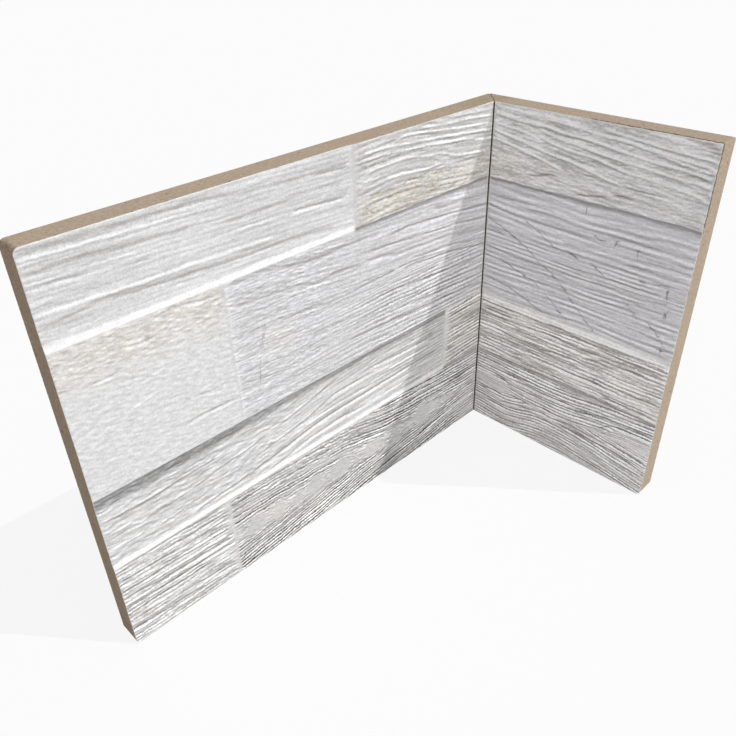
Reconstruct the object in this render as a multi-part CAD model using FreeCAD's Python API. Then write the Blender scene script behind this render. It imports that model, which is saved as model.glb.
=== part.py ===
# Internal corner piece of wood-look relief tile: two mitred strips bonded at a right angle.
import FreeCAD, Part
import os
from collections import namedtuple

V = FreeCAD.Vector

# Frame: millimetres, +Z up, the origin on the floor under the middle of the bounding box.
# The long wing runs along X with its back to +Y, the short wing along Y with its back to +X,
# so both glazed faces look into the quadrant towards -X and -Y.

tile_height = 200.0
tile_thickness = 13.0
# Each face's length runs from the inner corner to the wing's free end.
long_face = 252.0
short_face = 119.0

# The free corners are worn round by handling; the short wing's top one is nearly sharp.
worn_corner = 2.5
crisp_corner = 0.6

# The adhesive fills the mitre and stays back from the edges that it would show at.
joint_gap = 0.8
joint_recess = 0.3

# Plank relief. Most planks share one middle plane. Some stand proud of it, with a narrow
# slope round their edges; some are dished below it, with a wide soft cove at their margins.
proud_height = 0.5
dish_depth = 0.5
row_slope = 2.0
butt_slope = 3.5
row_cove = 4.0
butt_cove = 1.5
butt_groove_depth = 0.25
butt_groove_width = 2.4

# Rows of planks from the bottom edge up; the top row takes what is left of the height.
bottom_row_height = 50.0
narrow_row_height = 40.0
wide_row_height = 70.0

# Butt joints on the long wing, measured from the inner corner.
bottom_row_butt = 192.0
narrow_row_butt = 33.0
wide_row_butt = 177.0
top_row_butt = 102.0

# Keying grooves in the back run along each wing, with a land at half height.
key_pitch = 8.0
key_mouth = 3.0
key_floor = 2.0
key_depth = 0.5
key_edge_land = 6.0

# How far a cutting body reaches past the surface that it cuts.
overrun = 2.0

# Half the adhesive's width across the mitre, measured along X or Y.
half_gap = joint_gap / 2 * 2 ** 0.5

narrow_row_foot = bottom_row_height
wide_row_foot = narrow_row_foot + narrow_row_height
top_row_foot = wide_row_foot + wide_row_height

# The plank at the corner runs round it onto both wings; past its butt joint on the long
# wing lies a second plank, which may be of another kind.
Row = namedtuple("Row", "foot head corner_kind butt far_kind")
Plank = namedtuple("Plank", "x0 x1 z0 z1 kind")

ROWS = (
    Row(-overrun, narrow_row_foot, "level", bottom_row_butt, "level"),
    Row(narrow_row_foot, wide_row_foot, "proud", narrow_row_butt, "dished"),
    Row(wide_row_foot, top_row_foot, "level", wide_row_butt, "level"),
    Row(top_row_foot, tile_height + overrun, "proud", top_row_butt, "dished"),
)


def prism(points, direction):
    """The closed outline through the points, extruded."""
    return Part.Face(Part.makePolygon(points + points[:1])).extrude(direction)


def section():
    """Section of the strip: a flat front, and a back with tapered keying grooves."""
    outline = [(0, 0), (tile_thickness, 0)]
    pairs = max(0, int((tile_height / 2 - key_edge_land - key_mouth / 2) / key_pitch + 0.5))
    middle = tile_height / 2
    for number in range(-pairs, pairs):
        centre = middle + (number + 0.5) * key_pitch
        outline += [
            (tile_thickness, centre - key_mouth / 2),
            (tile_thickness - key_depth, centre - key_floor / 2),
            (tile_thickness - key_depth, centre + key_floor / 2),
            (tile_thickness, centre + key_mouth / 2),
        ]
    outline += [(tile_thickness, tile_height), (0, tile_height)]
    return [V(0, y, z) for y, z in outline]


def elevation(face_length, bottom_radius, top_radius):
    """The strip's outline seen square on, with its free corners rounded, one body deep."""
    free_x = -face_length
    slant = 1 - 0.5 ** 0.5
    foot = V(free_x + bottom_radius, 0, 0)
    low = V(free_x, 0, bottom_radius)
    high = V(free_x, 0, tile_height - top_radius)
    head = V(free_x + top_radius, 0, tile_height)
    bottom_mid = V(free_x + bottom_radius * slant, 0, bottom_radius * slant)
    top_mid = V(free_x + top_radius * slant, 0, tile_height - top_radius * slant)
    near_low = V(tile_thickness, 0, 0)
    near_high = V(tile_thickness, 0, tile_height)
    edges = [
        Part.makeLine(near_low, foot),
        Part.Arc(foot, bottom_mid, low).toShape(),
        Part.makeLine(low, high),
        Part.Arc(high, top_mid, head).toShape(),
        Part.makeLine(head, near_high),
        Part.makeLine(near_high, near_low),
    ]
    return Part.Face(Part.Wire(edges)).extrude(V(0, tile_thickness, 0))


def beyond_mitre():
    """All that lies past the wing's mitre face, which leaves half of the adhesive's gap."""
    reach = tile_thickness + overrun
    plan = [
        V(-overrun - half_gap, -overrun, -overrun),
        V(reach - half_gap, reach, -overrun),
        V(reach + overrun, reach, -overrun),
        V(reach + overrun, -overrun, -overrun),
    ]
    return prism(plan, V(0, 0, tile_height + 2 * overrun))


def planks(face_length, with_butts):
    """Every plank of a wing; those at an edge reach past it, so that the cuts come out clean."""
    found = []
    near = tile_thickness + overrun
    far = -face_length - overrun
    for row in ROWS:
        split = with_butts and row.butt < face_length
        end = -row.butt if split else far
        found.append(Plank(end, near, row.foot, row.head, row.corner_kind))
        if split:
            found.append(Plank(far, end, row.foot, row.head, row.far_kind))
    return found


def middle_plane(plank):
    """The space cut away in front of the middle plane."""
    corner = V(plank.x0, -overrun, plank.z0)
    depth = proud_height + overrun
    return Part.makeBox(plank.x1 - plank.x0, depth, plank.z1 - plank.z0, corner)


def slope(place, along, into, run):
    """The wedge that leaves a proud plank's edge sloping down to the middle plane."""
    corners = ((0, proud_height), (run, 0), (run, -overrun), (0, -overrun))
    return prism([place + into * s + V(0, depth, 0) for s, depth in corners], along)


def proud_slopes(plank, face_length):
    """The slopes round a proud plank, along every side that has a neighbour."""
    width = V(plank.x1 - plank.x0, 0, 0)
    height = V(0, 0, plank.z1 - plank.z0)
    slopes = []
    if plank.z0 > 0:
        slopes.append(slope(V(plank.x0, 0, plank.z0), width, V(0, 0, 1), row_slope))
    if plank.z1 < tile_height:
        slopes.append(slope(V(plank.x0, 0, plank.z1), width, V(0, 0, -1), row_slope))
    if plank.x0 > -face_length:
        slopes.append(slope(V(plank.x0, 0, plank.z0), height, V(1, 0, 0), butt_slope))
    return slopes


def cove(foot, rim, run):
    """Edge from a dish's floor up to its rim: an arc tangent to the floor, or straight out."""
    if not run:
        return Part.makeLine(foot, rim)
    radius = (run ** 2 + dish_depth ** 2) / (2 * dish_depth)
    sag = radius - (radius ** 2 - (run / 2) ** 2) ** 0.5
    middle = V((foot.x + rim.x) / 2, foot.y - sag, 0)
    return Part.Arc(foot, middle, rim).toShape()


def coved_section(low, high, low_cove, high_cove):
    """Section of a dish, drawn as (place, depth), from its floor up to the middle plane."""
    floor = proud_height + dish_depth
    low_foot = V(low + low_cove, floor, 0)
    high_foot = V(high - high_cove, floor, 0)
    low_rim = V(low, proud_height, 0)
    high_rim = V(high, proud_height, 0)
    edges = [
        Part.makeLine(low_foot, high_foot),
        cove(high_foot, high_rim, high_cove),
        Part.makeLine(high_rim, low_rim),
        cove(low_foot, low_rim, low_cove),
    ]
    return Part.Face(Part.Wire(edges))


def dish(plank, face_length):
    """What is cut below the middle plane to dish a plank: two coved sections crossed."""
    low_cove = row_cove if plank.z0 > 0 else 0
    high_cove = row_cove if plank.z1 < tile_height else 0
    upright = coved_section(plank.z0, plank.z1, low_cove, high_cove)
    upright.rotate(V(0, 0, 0), V(0, 1, 0), -90)
    upright.translate(V(plank.x0, 0, 0))
    lengthwise = coved_section(plank.x0, plank.x1, 0, butt_cove)
    lengthwise.translate(V(0, 0, plank.z0))
    along_x = upright.extrude(V(plank.x1 - plank.x0, 0, 0))
    along_z = lengthwise.extrude(V(0, 0, plank.z1 - plank.z0))
    return along_x.common(along_z)


def butt_groove(left, right):
    """The shallow groove where two planks on the middle plane meet end to end."""
    half = butt_groove_width / 2
    floor = proud_height + butt_groove_depth
    outline = [(-half, -overrun), (-half, proud_height), (0, floor),
               (half, proud_height), (half, -overrun)]
    points = [V(left.x1 + s, y, left.z0) for s, y in outline]
    return prism(points, V(0, 0, left.z1 - left.z0))


def relief_cuts(laid, face_length):
    """Every body that is cut from the slab to leave the planks."""
    cuts = []
    for plank in laid:
        if plank.kind == "proud":
            cuts += proud_slopes(plank, face_length)
        else:
            cuts.append(middle_plane(plank))
        if plank.kind == "dished":
            cuts.append(dish(plank, face_length))
    for left in laid:
        for right in laid:
            end_to_end = left.x1 == right.x0 and left.z0 == right.z0
            if end_to_end and left.kind == right.kind == "level":
                cuts.append(butt_groove(left, right))
    return cuts


def wing(face_length, bottom_radius, top_radius, with_butts):
    """One mitred strip in the long wing's place, with its face on the plane Y = 0."""
    start = V(-face_length, 0, 0)
    slab = prism([start + point for point in section()],
                 V(face_length + tile_thickness, 0, 0))
    slab = slab.common(elevation(face_length, bottom_radius, top_radius))
    slab = slab.cut([beyond_mitre()] + relief_cuts(planks(face_length, with_butts), face_length))
    return slab.removeSplitter()


def adhesive():
    """The layer in the mitre, from behind the deepest face at the corner to the outer corner."""
    inner = proud_height - half_gap / 2 + joint_recess
    outer = tile_thickness - half_gap / 2 - joint_recess
    plan = [
        V(inner - half_gap / 2, inner + half_gap / 2, joint_recess),
        V(outer - half_gap / 2, outer + half_gap / 2, joint_recess),
        V(outer + half_gap / 2, outer - half_gap / 2, joint_recess),
        V(inner + half_gap / 2, inner - half_gap / 2, joint_recess),
    ]
    return prism(plan, V(0, 0, tile_height - 2 * joint_recess))


def build():
    """All pieces in the part's frame, by name."""
    short_wing = wing(short_face, worn_corner, crisp_corner, with_butts=False)
    pieces = {
        "long_wing": wing(long_face, worn_corner, worn_corner, with_butts=True),
        "short_wing": short_wing.mirror(V(0, 0, 0), V(1, -1, 0)),
        "mitre_adhesive": adhesive(),
    }
    to_origin = V((long_face - tile_thickness) / 2, (short_face - tile_thickness) / 2, 0)
    for shape in pieces.values():
        shape.translate(to_origin)
    return pieces


os.makedirs("parts", exist_ok=True)
for name, shape in build().items():
    assert shape.isValid() and len(shape.Solids) == 1, name
    shape.Solids[0].exportStep("parts/" + name + ".step")
    print(name, "volume", round(shape.Volume), "mm3, faces", len(shape.Faces))
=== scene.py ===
"""Looks of the wood-look corner tile: relief glaze, bare clay body, adhesive line and studio."""
import math
from collections import namedtuple

import bmesh
import bpy
import numpy as np
from mathutils import Matrix, Vector


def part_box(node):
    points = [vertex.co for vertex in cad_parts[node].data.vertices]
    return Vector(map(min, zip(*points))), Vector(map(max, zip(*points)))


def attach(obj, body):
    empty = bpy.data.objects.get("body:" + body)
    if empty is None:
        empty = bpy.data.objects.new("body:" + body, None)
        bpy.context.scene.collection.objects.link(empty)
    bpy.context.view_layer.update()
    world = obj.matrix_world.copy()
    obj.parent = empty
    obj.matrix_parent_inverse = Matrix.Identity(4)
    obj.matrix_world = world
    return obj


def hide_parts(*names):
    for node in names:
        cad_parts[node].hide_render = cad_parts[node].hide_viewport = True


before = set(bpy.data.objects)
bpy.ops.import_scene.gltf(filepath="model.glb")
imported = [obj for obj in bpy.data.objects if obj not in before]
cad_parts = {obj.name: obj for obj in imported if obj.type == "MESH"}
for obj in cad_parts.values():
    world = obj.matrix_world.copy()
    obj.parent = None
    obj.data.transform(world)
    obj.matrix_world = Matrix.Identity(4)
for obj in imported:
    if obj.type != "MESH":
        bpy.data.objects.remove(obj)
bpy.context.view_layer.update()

# Lengths are millimetres until a mesh gets its place in the frame.
MM = 0.001

# Sizes and places that the frame gives.
long_low, long_high = (np.round(np.array(corner) / MM, 3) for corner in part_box("long_wing"))
short_low, short_high = (np.round(np.array(corner) / MM, 3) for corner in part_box("short_wing"))
CORNER_X = short_low[0]
CORNER_Y = long_low[1]
HEIGHT = long_high[2]
THICKNESS = short_high[0] - CORNER_X
LONG_FACE = CORNER_X - long_low[0]
SHORT_FACE = CORNER_Y - short_low[1]
HALF_GAP = short_high[0] - long_high[0]

# Worn corners of the free ends, in elevation.
WORN_CORNER = 2.5
CRISP_CORNER = 0.6
# Heights within which a worn corner squeezes the rows of the mesh.
CORNER_REACH = 6.0

# Fineness of a wing's face: cells across the grain are short, cells along it are long.
CELL_HEIGHT = 0.4
CELL_LENGTH = 1.42
CORNER_STEPS = 6

# The glaze ends at an arris; below it the edge shows the glaze's thickness, then bare clay.
ARRIS = 0.25
GLAZE_THICKNESS = 0.55
EDGE_LOOPS = (ARRIS, GLAZE_THICKNESS, 3.6, 7.0, THICKNESS)
# At the mitre the arris is finer by this factor.
MITRE_ARRIS = 0.6
# Depths that differ by less than this belong to one loop of the edge.
LOOP_SLACK = 0.01
# Chips bite at most this far into the glaze's edge, and are about this long.
CHIP_BITE = 0.35
CHIP_LENGTH = 2.1
# Faces that meet at less than this many degrees are shaded as one surface.
SMOOTH_ANGLE = 38.0

# Keying grooves of the back, as on the solids.
KEY_PITCH = 8.0
KEY_MOUTH = 3.0
KEY_FLOOR = 2.0
KEY_DEPTH = 0.5
KEY_EDGE_LAND = 6.0

# Plank relief, as on the solids. Places on the face are u, from the long wing's free end
# round the inner corner to the short wing's free end, and v, down from the top edge.
PROUD_HEIGHT = 0.5
DISH_DEPTH = 0.5
ROW_SLOPE = 2.0
BUTT_SLOPE = 3.5
ROW_COVE = 4.0
BUTT_COVE = 1.5
BUTT_GROOVE_DEPTH = 0.25
BUTT_GROOVE_WIDTH = 2.4

FACE_END = LONG_FACE + SHORT_FACE
ROW_1 = 40.0
ROW_2 = 110.0
ROW_3 = 150.0
BUTT_1 = 150.0
BUTT_2 = 75.0
BUTT_3 = 219.0
BUTT_4 = 60.0

Plank = namedtuple("Plank", "name left right top foot kind")
PLANKS = (
    Plank("soft", 0, BUTT_1, 0, ROW_1, "dished"),
    Plank("wavy", BUTT_1, FACE_END, 0, ROW_1, "proud"),
    Plank("plaster", 0, BUTT_2, ROW_1, ROW_2, "level"),
    Plank("checked", BUTT_2, FACE_END, ROW_1, ROW_2, "level"),
    Plank("sweeping", 0, BUTT_3, ROW_2, ROW_3, "dished"),
    Plank("straight", BUTT_3, FACE_END, ROW_2, ROW_3, "proud"),
    Plank("furrowed", 0, BUTT_4, ROW_3, HEIGHT, "level"),
    Plank("knotty", BUTT_4, FACE_END, ROW_3, HEIGHT, "level"),
)

# Print colours of the planks, as linear albedo.
PRINT = {
    "soft": (0.708, 0.701, 0.701),
    "wavy": (0.648, 0.641, 0.634),
    "plaster": (0.738, 0.732, 0.730),
    "checked": (0.705, 0.696, 0.705),
    "sweeping": (0.680, 0.674, 0.678),
    "straight": (0.785, 0.768, 0.750),
    "furrowed": (0.658, 0.650, 0.642),
    "knotty": (0.582, 0.573, 0.571),
}

# How bold each plank's grain is pressed, and how much bolder it is past the corner.
BOLDNESS = {
    "soft": 0.92,
    "wavy": 1.16,
    "plaster": 1.05,
    "checked": 1.38,
    "sweeping": 1.20,
    "straight": 1.30,
    "furrowed": 1.42,
    "knotty": 1.40,
}
SHORT_BOLDNESS = {"wavy": 2.30, "checked": 1.20, "straight": 1.60, "knotty": 1.80}

# Stains and dark strokes of the print, and the glaze's ground edge, as linear albedo.
OCHRE = (0.58, 0.45, 0.27)
SAND = (0.63, 0.585, 0.51)
CREAM = (0.78, 0.75, 0.69)
UMBER = (0.27, 0.245, 0.215)
GLAZE_CUT = (0.80, 0.78, 0.74)


# Noise on arrays of points; the seed picks the pattern.

def hashed(column, row, seed):
    """A fixed random number from 0 to 1 for every lattice point."""
    mixed = (column * 374761393 + row * 668265263 + seed * 1442695041) & 0xFFFFFFFF
    mixed = ((mixed ^ (mixed >> 13)) * 1274126177) & 0xFFFFFFFF
    return (mixed ^ (mixed >> 16)) / 0xFFFFFFFF


def noise(x, y, seed):
    """Smooth gradient noise, about -1 to 1."""
    x, y = np.broadcast_arrays(np.asarray(x, float), np.asarray(y, float))
    column = np.floor(x).astype(np.int64)
    row = np.floor(y).astype(np.int64)
    total = np.zeros(x.shape)
    for right in (0, 1):
        for up in (0, 1):
            angle = 2 * math.pi * hashed(column + right, row + up, seed)
            dx = x - column - right
            dy = y - row - up
            weight = ease(1 - np.abs(dx)) * ease(1 - np.abs(dy))
            total += weight * (np.cos(angle) * dx + np.sin(angle) * dy)
    return total * 1.6


def fractal(x, y, seed, octaves=3):
    """Noise with finer, weaker noise added to it."""
    total = 0.0
    for octave in range(octaves):
        total = total + noise(x * 2 ** octave, y * 2 ** octave, seed + octave) / 2 ** octave
    return total


def ease(t):
    """From 0 to 1 with a soft start and end."""
    t = np.clip(t, 0, 1)
    return t * t * t * (t * (6 * t - 15) + 10)


def blend_in(x, start, stop):
    """0 before start and 1 after stop, or the other way round where stop comes first."""
    return ease((x - start) / (stop - start))


def past_corner(u, before=4.0, after=4.0):
    """0 on the long wing and 1 on the short one, turning round the inner corner."""
    return blend_in(u, LONG_FACE - before, LONG_FACE + after)


def around(u, v, place, reach):
    """A soft spot of 1 at the place that falls off over its reach along u and along v."""
    return np.exp(-((u - place[0]) / reach[0]) ** 2 - ((v - place[1]) / reach[1]) ** 2)


def through(along, points):
    """A smooth curve through the points; before the first and after the last it stays level."""
    stations = np.array([p[0] for p in points], float)
    places = np.array([p[1] for p in points], float)
    slopes = np.gradient(places, stations)
    inside = np.clip(along, stations[0], stations[-1])
    span = np.clip(np.searchsorted(stations, inside, side="right") - 1, 0, len(stations) - 2)
    run = stations[span + 1] - stations[span]
    t = (inside - stations[span]) / run
    return ((2 * t ** 3 - 3 * t ** 2 + 1) * places[span]
            + (t ** 3 - 2 * t ** 2 + t) * run * slopes[span]
            + (3 * t ** 2 - 2 * t ** 3) * places[span + 1]
            + (t ** 3 - t ** 2) * run * slopes[span + 1])


# Grain on arrays of points: u runs along the grain, g across it, following its lines.

def crests(u, g, spacing, length, seed, sharpness=0.16):
    """Thin lines along the grain that come and go, from 0 to 1."""
    sway = noise(u / length, g / spacing, seed)
    sway = sway + 0.35 * noise(3 * u / length, 2 * g / spacing, seed + 1)
    strength = 0.5 + 1.3 * noise(u / (1.4 * length), g / (2.5 * spacing), seed + 2)
    return np.exp(-(sway / sharpness) ** 2) * np.clip(strength, 0, 1)


def streaks(u, g, spacing, length, seed):
    """Soft uneven bands along the grain, about -1 to 1."""
    return fractal(u / length, g / (2 * spacing), seed)


# A stroke is its kind and the (u, v) points that it runs through, from left to right. The
# kind says how deep it is cut (raised where negative), how wide it is, how far it wanders
# and how dark it is printed.
Kind = namedtuple("Kind", "depth width wander dark")
RIDGE = Kind(-0.29, 0.62, 0.12, 0.0)
LIP = Kind(-0.17, 0.55, 0.22, 0.0)
SWELL = Kind(-0.24, 1.0, 0.22, 0.0)
FURROW = Kind(0.28, 0.58, 0.13, 0.42)
GROOVE = Kind(0.21, 0.60, 0.16, 0.28)
SCRATCH = Kind(0.13, 0.42, 0.20, 0.18)
HOLLOW = Kind(0.17, 1.0, 0.22, 0.16)
STAIN = Kind(0.14, 0.50, 0.45, 0.42)

# Lengths over which strokes wander and change in strength, and the longest taper of an end.
WANDER_LENGTH = 7.0
STRENGTH_LENGTH = 12.0
LONGEST_TAPER = 6.0


def drawn(u, v, strokes, seed):
    """Rise and darkness of hand-placed strokes at every point."""
    rise = np.zeros(u.shape)
    dark = np.zeros(u.shape)
    for number, (kind, points) in enumerate(strokes):
        left, right = points[0][0], points[-1][0]
        near = (u > left - 1) & (u < right + 1)
        along, across = u[near], v[near]
        centre = through(along, points)
        sideways = fractal(along / WANDER_LENGTH, number * 3.7, seed + number)
        centre = centre + kind.wander * sideways
        weight = np.exp(-((across - centre) / kind.width) ** 2)
        taper = min(LONGEST_TAPER, (right - left) / 3)
        weight = weight * blend_in(np.minimum(along - left, right - along), 0, taper)
        uneven = noise(along / STRENGTH_LENGTH, number * 5.1, seed + 50 + number)
        weight = weight * (0.9 + 0.35 * uneven)
        rise[near] -= kind.depth * weight
        dark[near] = np.maximum(dark[near], kind.dark * weight)
    return rise, dark


# Drying checks: as far as the distance to one is followed, the length over which they
# wander, the longest taper of an end, and how far to each side they are open.
CHECK_REACH = 3.0
CHECK_WANDER_LENGTH = 5.0
LONGEST_CHECK_TAPER = 3.0
CHECK_SIDE = 0.9


def checks(u, v, lines):
    """The sign changes at every line, so that the distance between two points of the mesh
    passes through nought where a line does."""
    nearest = np.full(u.shape, CHECK_REACH)
    sign = np.ones(u.shape)
    opened = np.zeros(u.shape)
    for number, points in enumerate(lines):
        upright = abs(points[-1][1] - points[0][1]) > abs(points[-1][0] - points[0][0])
        along, across = (v, u) if upright else (u, v)
        path = sorted((p[1], p[0]) if upright else p for p in points)
        start, stop = path[0][0], path[-1][0]
        wander = 0.30 * fractal(along / CHECK_WANDER_LENGTH, number * 3.7, 700 + number)
        beside = across - through(along, path) - wander
        nearest = np.minimum(nearest, np.abs(beside))
        sign = sign * np.sign(beside)
        taper = min(LONGEST_CHECK_TAPER, (stop - start) / 3)
        inside = blend_in(np.minimum(along - start, stop - along), 0, taper)
        gaps = np.clip(0.85 + 0.7 * noise(along / 4, number * 5.1, 760 + number), 0, 1)
        opened = np.maximum(opened, inside * gaps * np.exp(-(beside / CHECK_SIDE) ** 4))
    return sign * nearest, opened


# The planks. Each gives its rise in millimetres, its darkness from 0 to 1, stain colours with
# their strength, the coordinate across the grain that the finest lines follow, with their
# pitch and strength, and its checks.

Grain = namedtuple("Grain", "rise dark stains across pitch lines checks")


def grain(rise, dark, across, pitch, lines, stains=(), checked=None):
    """A plank's grain, which has neither stains nor checks unless they are given."""
    zero = np.zeros(rise.shape)
    unchecked = (zero + CHECK_REACH, zero)
    return Grain(rise, dark, stains, across, pitch, lines + zero, checked or unchecked)


SOFT_STROKES = (
    (HOLLOW, ((-2, 2.9), (30, 3.2), (60, 3.6))),
    (LIP, ((-2, 4.6), (20, 5.6), (44, 6.2), (62, 6.6))),
    (SCRATCH, ((-2, 7.3), (14, 7.4), (26, 7.8))),
    (HOLLOW, ((-2, 10.3), (22, 10.2), (40, 11.4), (66, 12.6))),
    (LIP, ((-2, 13.6), (22, 14.0), (44, 14.8))),
    (SCRATCH, ((5, 15.0), (14, 15.4), (22, 16.0))),
    (SCRATCH, ((-2, 19.0), (10, 19.3), (19, 19.6))),
    (SCRATCH, ((33, 18.4), (42, 18.7), (49, 19.0))),
    (HOLLOW, ((56, 4.6), (62, 3.4), (84, 5.2), (104, 6.6), (128, 8.0), (148, 8.8))),
    (GROOVE, ((126, 8.0), (138, 8.8), (149, 9.2))),
    (HOLLOW, ((78, 15.4), (96, 15.6), (112, 14.6), (126, 14.4), (146, 15.6))),
    (SCRATCH, ((84, 19.0), (94, 19.4), (108, 19.9))),
    (LIP, ((84, 20.2), (94, 20.5), (108, 21.2))),
    (FURROW, ((112, 20.4), (122, 20.8), (132, 21.6), (147, 22.6))),
    (SWELL, ((112, 21.9), (122, 22.4), (134, 23.2), (147, 24.0))),
    (SWELL, ((-2, 25.6), (18, 25.8), (40, 26.8), (70, 27.6), (104, 28.8))),
    (HOLLOW, ((-2, 30.6), (10, 29.6), (26, 27.8), (40, 29.2), (66, 31.0))),
    (HOLLOW, ((56, 29.8), (74, 31.4), (100, 32.2), (140, 34.4))),
)


def soft_plank(u, v):
    """Long soft streaks, a little downhill, with a few sharper strokes."""
    g = v - 0.03 * u + 0.8 * noise(u / 45, v / 12, 11)
    rise = 0.12 * streaks(u, g, 2.2, 40, 12) + 0.05 * crests(u, g, 2.6, 22, 16)
    rise = rise - 0.04 * crests(u, g, 3.0, 20, 21) + 0.030 * fractal(u / 2.6, g / 0.9, 24, 2)
    stroke_rise, dark = drawn(u, v, SOFT_STROKES, 30)
    return grain(rise + stroke_rise, dark, g, 2.3, 0.15)


WAVY_STROKES = (
    (RIDGE, ((155, 5.7), (166, 5.8), (180, 6.6), (198, 8.4), (216, 10.2), (238, 12.6),
             (252, 14.0))),
    (RIDGE, ((154, 9.1), (164, 8.9), (177, 9.1), (186, 10.0), (200, 11.4), (220, 13.5),
             (232, 15.2), (246, 18.2), (256, 19.0))),
    (RIDGE, ((174, 4.6), (187, 3.4), (196, 4.4), (212, 6.4), (224, 7.8), (240, 9.4),
             (252, 10.4))),
    (RIDGE, ((194, 2.0), (206, 3.0), (218, 4.2), (234, 5.2), (252, 7.0))),
    (LIP, ((212, 0.6), (228, 2.0), (252, 3.6))),
    (RIDGE, ((156, 14.9), (164, 14.2), (181, 13.9), (188, 14.2), (200, 16.4), (211, 17.8),
             (220, 20.6), (232, 22.8), (250, 25.0))),
    (RIDGE, ((153, 21.8), (158, 21.4), (163, 21.3))),
    (RIDGE, ((169, 20.2), (178, 20.8), (188, 21.6), (198, 22.8), (212, 22.4))),
    (LIP, ((153, 18.6), (161, 18.4), (168, 18.6))),
    (LIP, ((204, 24.8), (214, 24.6), (224, 25.4))),
    (RIDGE, ((253, 5.3), (267, 6.9), (276, 7.4), (285, 7.8))),
    (RIDGE, ((253, 10.7), (261, 11.3), (271, 12.2), (281, 14.0))),
    (RIDGE, ((253, 14.5), (267, 16.4), (278, 18.4), (287, 20.2), (302, 22.2), (317, 25.6),
             (330, 28.0))),
    (RIDGE, ((253, 18.3), (262, 19.7), (275, 22.2), (285, 24.4), (298, 27.8))),
    (RIDGE, ((279, 12.0), (288, 14.6), (298, 16.4), (312, 17.6), (328, 20.6), (344, 22.1),
             (359, 23.7), (372, 26.0))),
    (RIDGE, ((279, 9.0), (290, 11.5), (305, 13.4), (322, 15.6), (340, 17.2), (352, 18.3),
             (372, 19.9))),
    (RIDGE, ((280, 6.6), (292, 8.6), (310, 9.9), (328, 11.8), (340, 13.4), (352, 14.1),
             (372, 16.0))),
    (RIDGE, ((283, 3.4), (298, 4.6), (312, 6.2), (328, 7.2), (346, 9.2), (372, 11.4))),
    (LIP, ((314, 3.2), (328, 4.6), (346, 6.6), (372, 8.0))),
    (LIP, ((340, 9.6), (350, 10.8), (361, 12.4))),
    (LIP, ((253, 1.6), (272, 2.6), (300, 3.0))),
    (GROOVE, ((274, 33.9), (284, 32.8), (290, 31.0), (296, 31.2))),
    (GROOVE, ((324, 33.8), (331, 33.2), (338, 33.8))),
    (LIP, ((325, 35.0), (331, 34.5), (338, 35.0))),
    (GROOVE, ((303, 38.2), (314, 36.6), (324, 35.2))),
    (SCRATCH, ((306, 26.6), (312, 26.9), (318, 26.8))),
    (SCRATCH, ((328, 28.2), (340, 28.6), (353, 28.0))),
)
STAIN_STROKES = (
    (STAIN, ((153, 11.8), (163, 12.0), (172, 11.6), (184, 11.0))),
    (STAIN, ((158, 26.2), (166, 25.7), (173, 26.1), (179, 26.6), (186, 25.7), (195, 25.2),
             (207, 25.3))),
    (STAIN, ((200, 25.6), (212, 27.2), (224, 28.6))),
    (STAIN, ((151, 33.6), (166, 34.3), (176, 33.5), (184, 34.2), (195, 34.9), (206, 34.8),
             (217, 33.2))),
    (STAIN, ((156, 29.2), (168, 29.8), (184, 29.6), (200, 30.6))),
    (STAIN, ((212, 31.4), (219, 31.8), (227, 33.4))),
    (STAIN, ((211, 33.6), (219, 35.0), (227, 36.2))),
    (STAIN, ((213, 37.4), (220, 36.8), (226, 35.4))),
    (STAIN, ((258, 33.0), (263, 32.2), (268, 33.0))),
)


def wavy_plank(u, v):
    """High ridges that arch over and run downhill round the corner, above a stained margin."""
    fall = through(u, ((150, 1.6), (182, 0), (214, 4.5), (252, 9), (300, 14), (372, 22)))
    g = v - fall + 0.4 * noise(u / 26, v / 7, 41)
    rise = 0.08 * streaks(u, g, 1.3, 18, 81) - 0.05 * crests(u, g, 2.2, 14, 75)
    rise = rise + 0.09 * streaks(u, g, 3.6, 26, 78) + 0.04 * fractal(u / 2.0, v / 1.2, 80, 2)
    rise = rise * (1 - 0.35 * blend_in(u, 248, 262) * blend_in(v, 24, 30))
    margin = blend_in(v + 1.5 * noise(u / 9, 2.5, 87), 24.5, 28.0) * blend_in(u, 300, 235)
    pits = np.clip(fractal(u / 2.6, v / 1.1, 85) - 0.35, 0, 1)
    rise = rise - 0.14 * margin * pits + 0.04 * fractal(u / 4, v / 1.2, 88, 2)
    stroke_rise, dark = drawn(u, v, WAVY_STROKES, 90)
    stain = margin * np.clip(0.16 + 1.0 * fractal(u / 16, v / 2.4, 150), 0, 1)
    stain = stain * blend_in(u, 151, 158)
    warm = np.clip(fractal(u / 20, g / 1.6, 155, 2) - 0.05, 0, 1)
    warm = warm * (0.25 + 0.75 * blend_in(u, 246, 290))
    stain_rise, stained = drawn(u, v, STAIN_STROKES, 96)
    dots = np.clip(0.55 + 1.1 * fractal(u / 2.0, v / 0.8, 158, 2), 0, 1)
    speckle = margin * stain * np.clip(fractal(u / 1.6, v / 0.9, 161, 2) - 0.25, 0, 1)
    clump = around(u, v, (209, 30.5), (9, 3.0))
    speckle = 1.5 * speckle + 0.9 * clump * np.clip(fractal(u / 1.5, v / 0.8, 164, 2) - 0.2, 0, 1)
    dark = np.maximum(dark, np.maximum(margin * pits * 0.6, 1.9 * stained * dots + speckle))
    # The stain's ochre is painted stronger on the lit long wing than on the short wing, which lies
    # in shade.
    lit_side = blend_in(u, 285, 235)
    stains = ((CREAM, 0.60 * margin), (OCHRE, (0.08 + 0.26 * lit_side) * stain),
              (SAND, 0.50 * warm), (OCHRE, 2.0 * stained * dots))
    lines = 0.25 * (1 - 0.6 * blend_in(u, 245, 262))
    return grain(rise + stroke_rise + 0.7 * dots * stain_rise, dark, g, 2.6, lines, stains)


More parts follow.
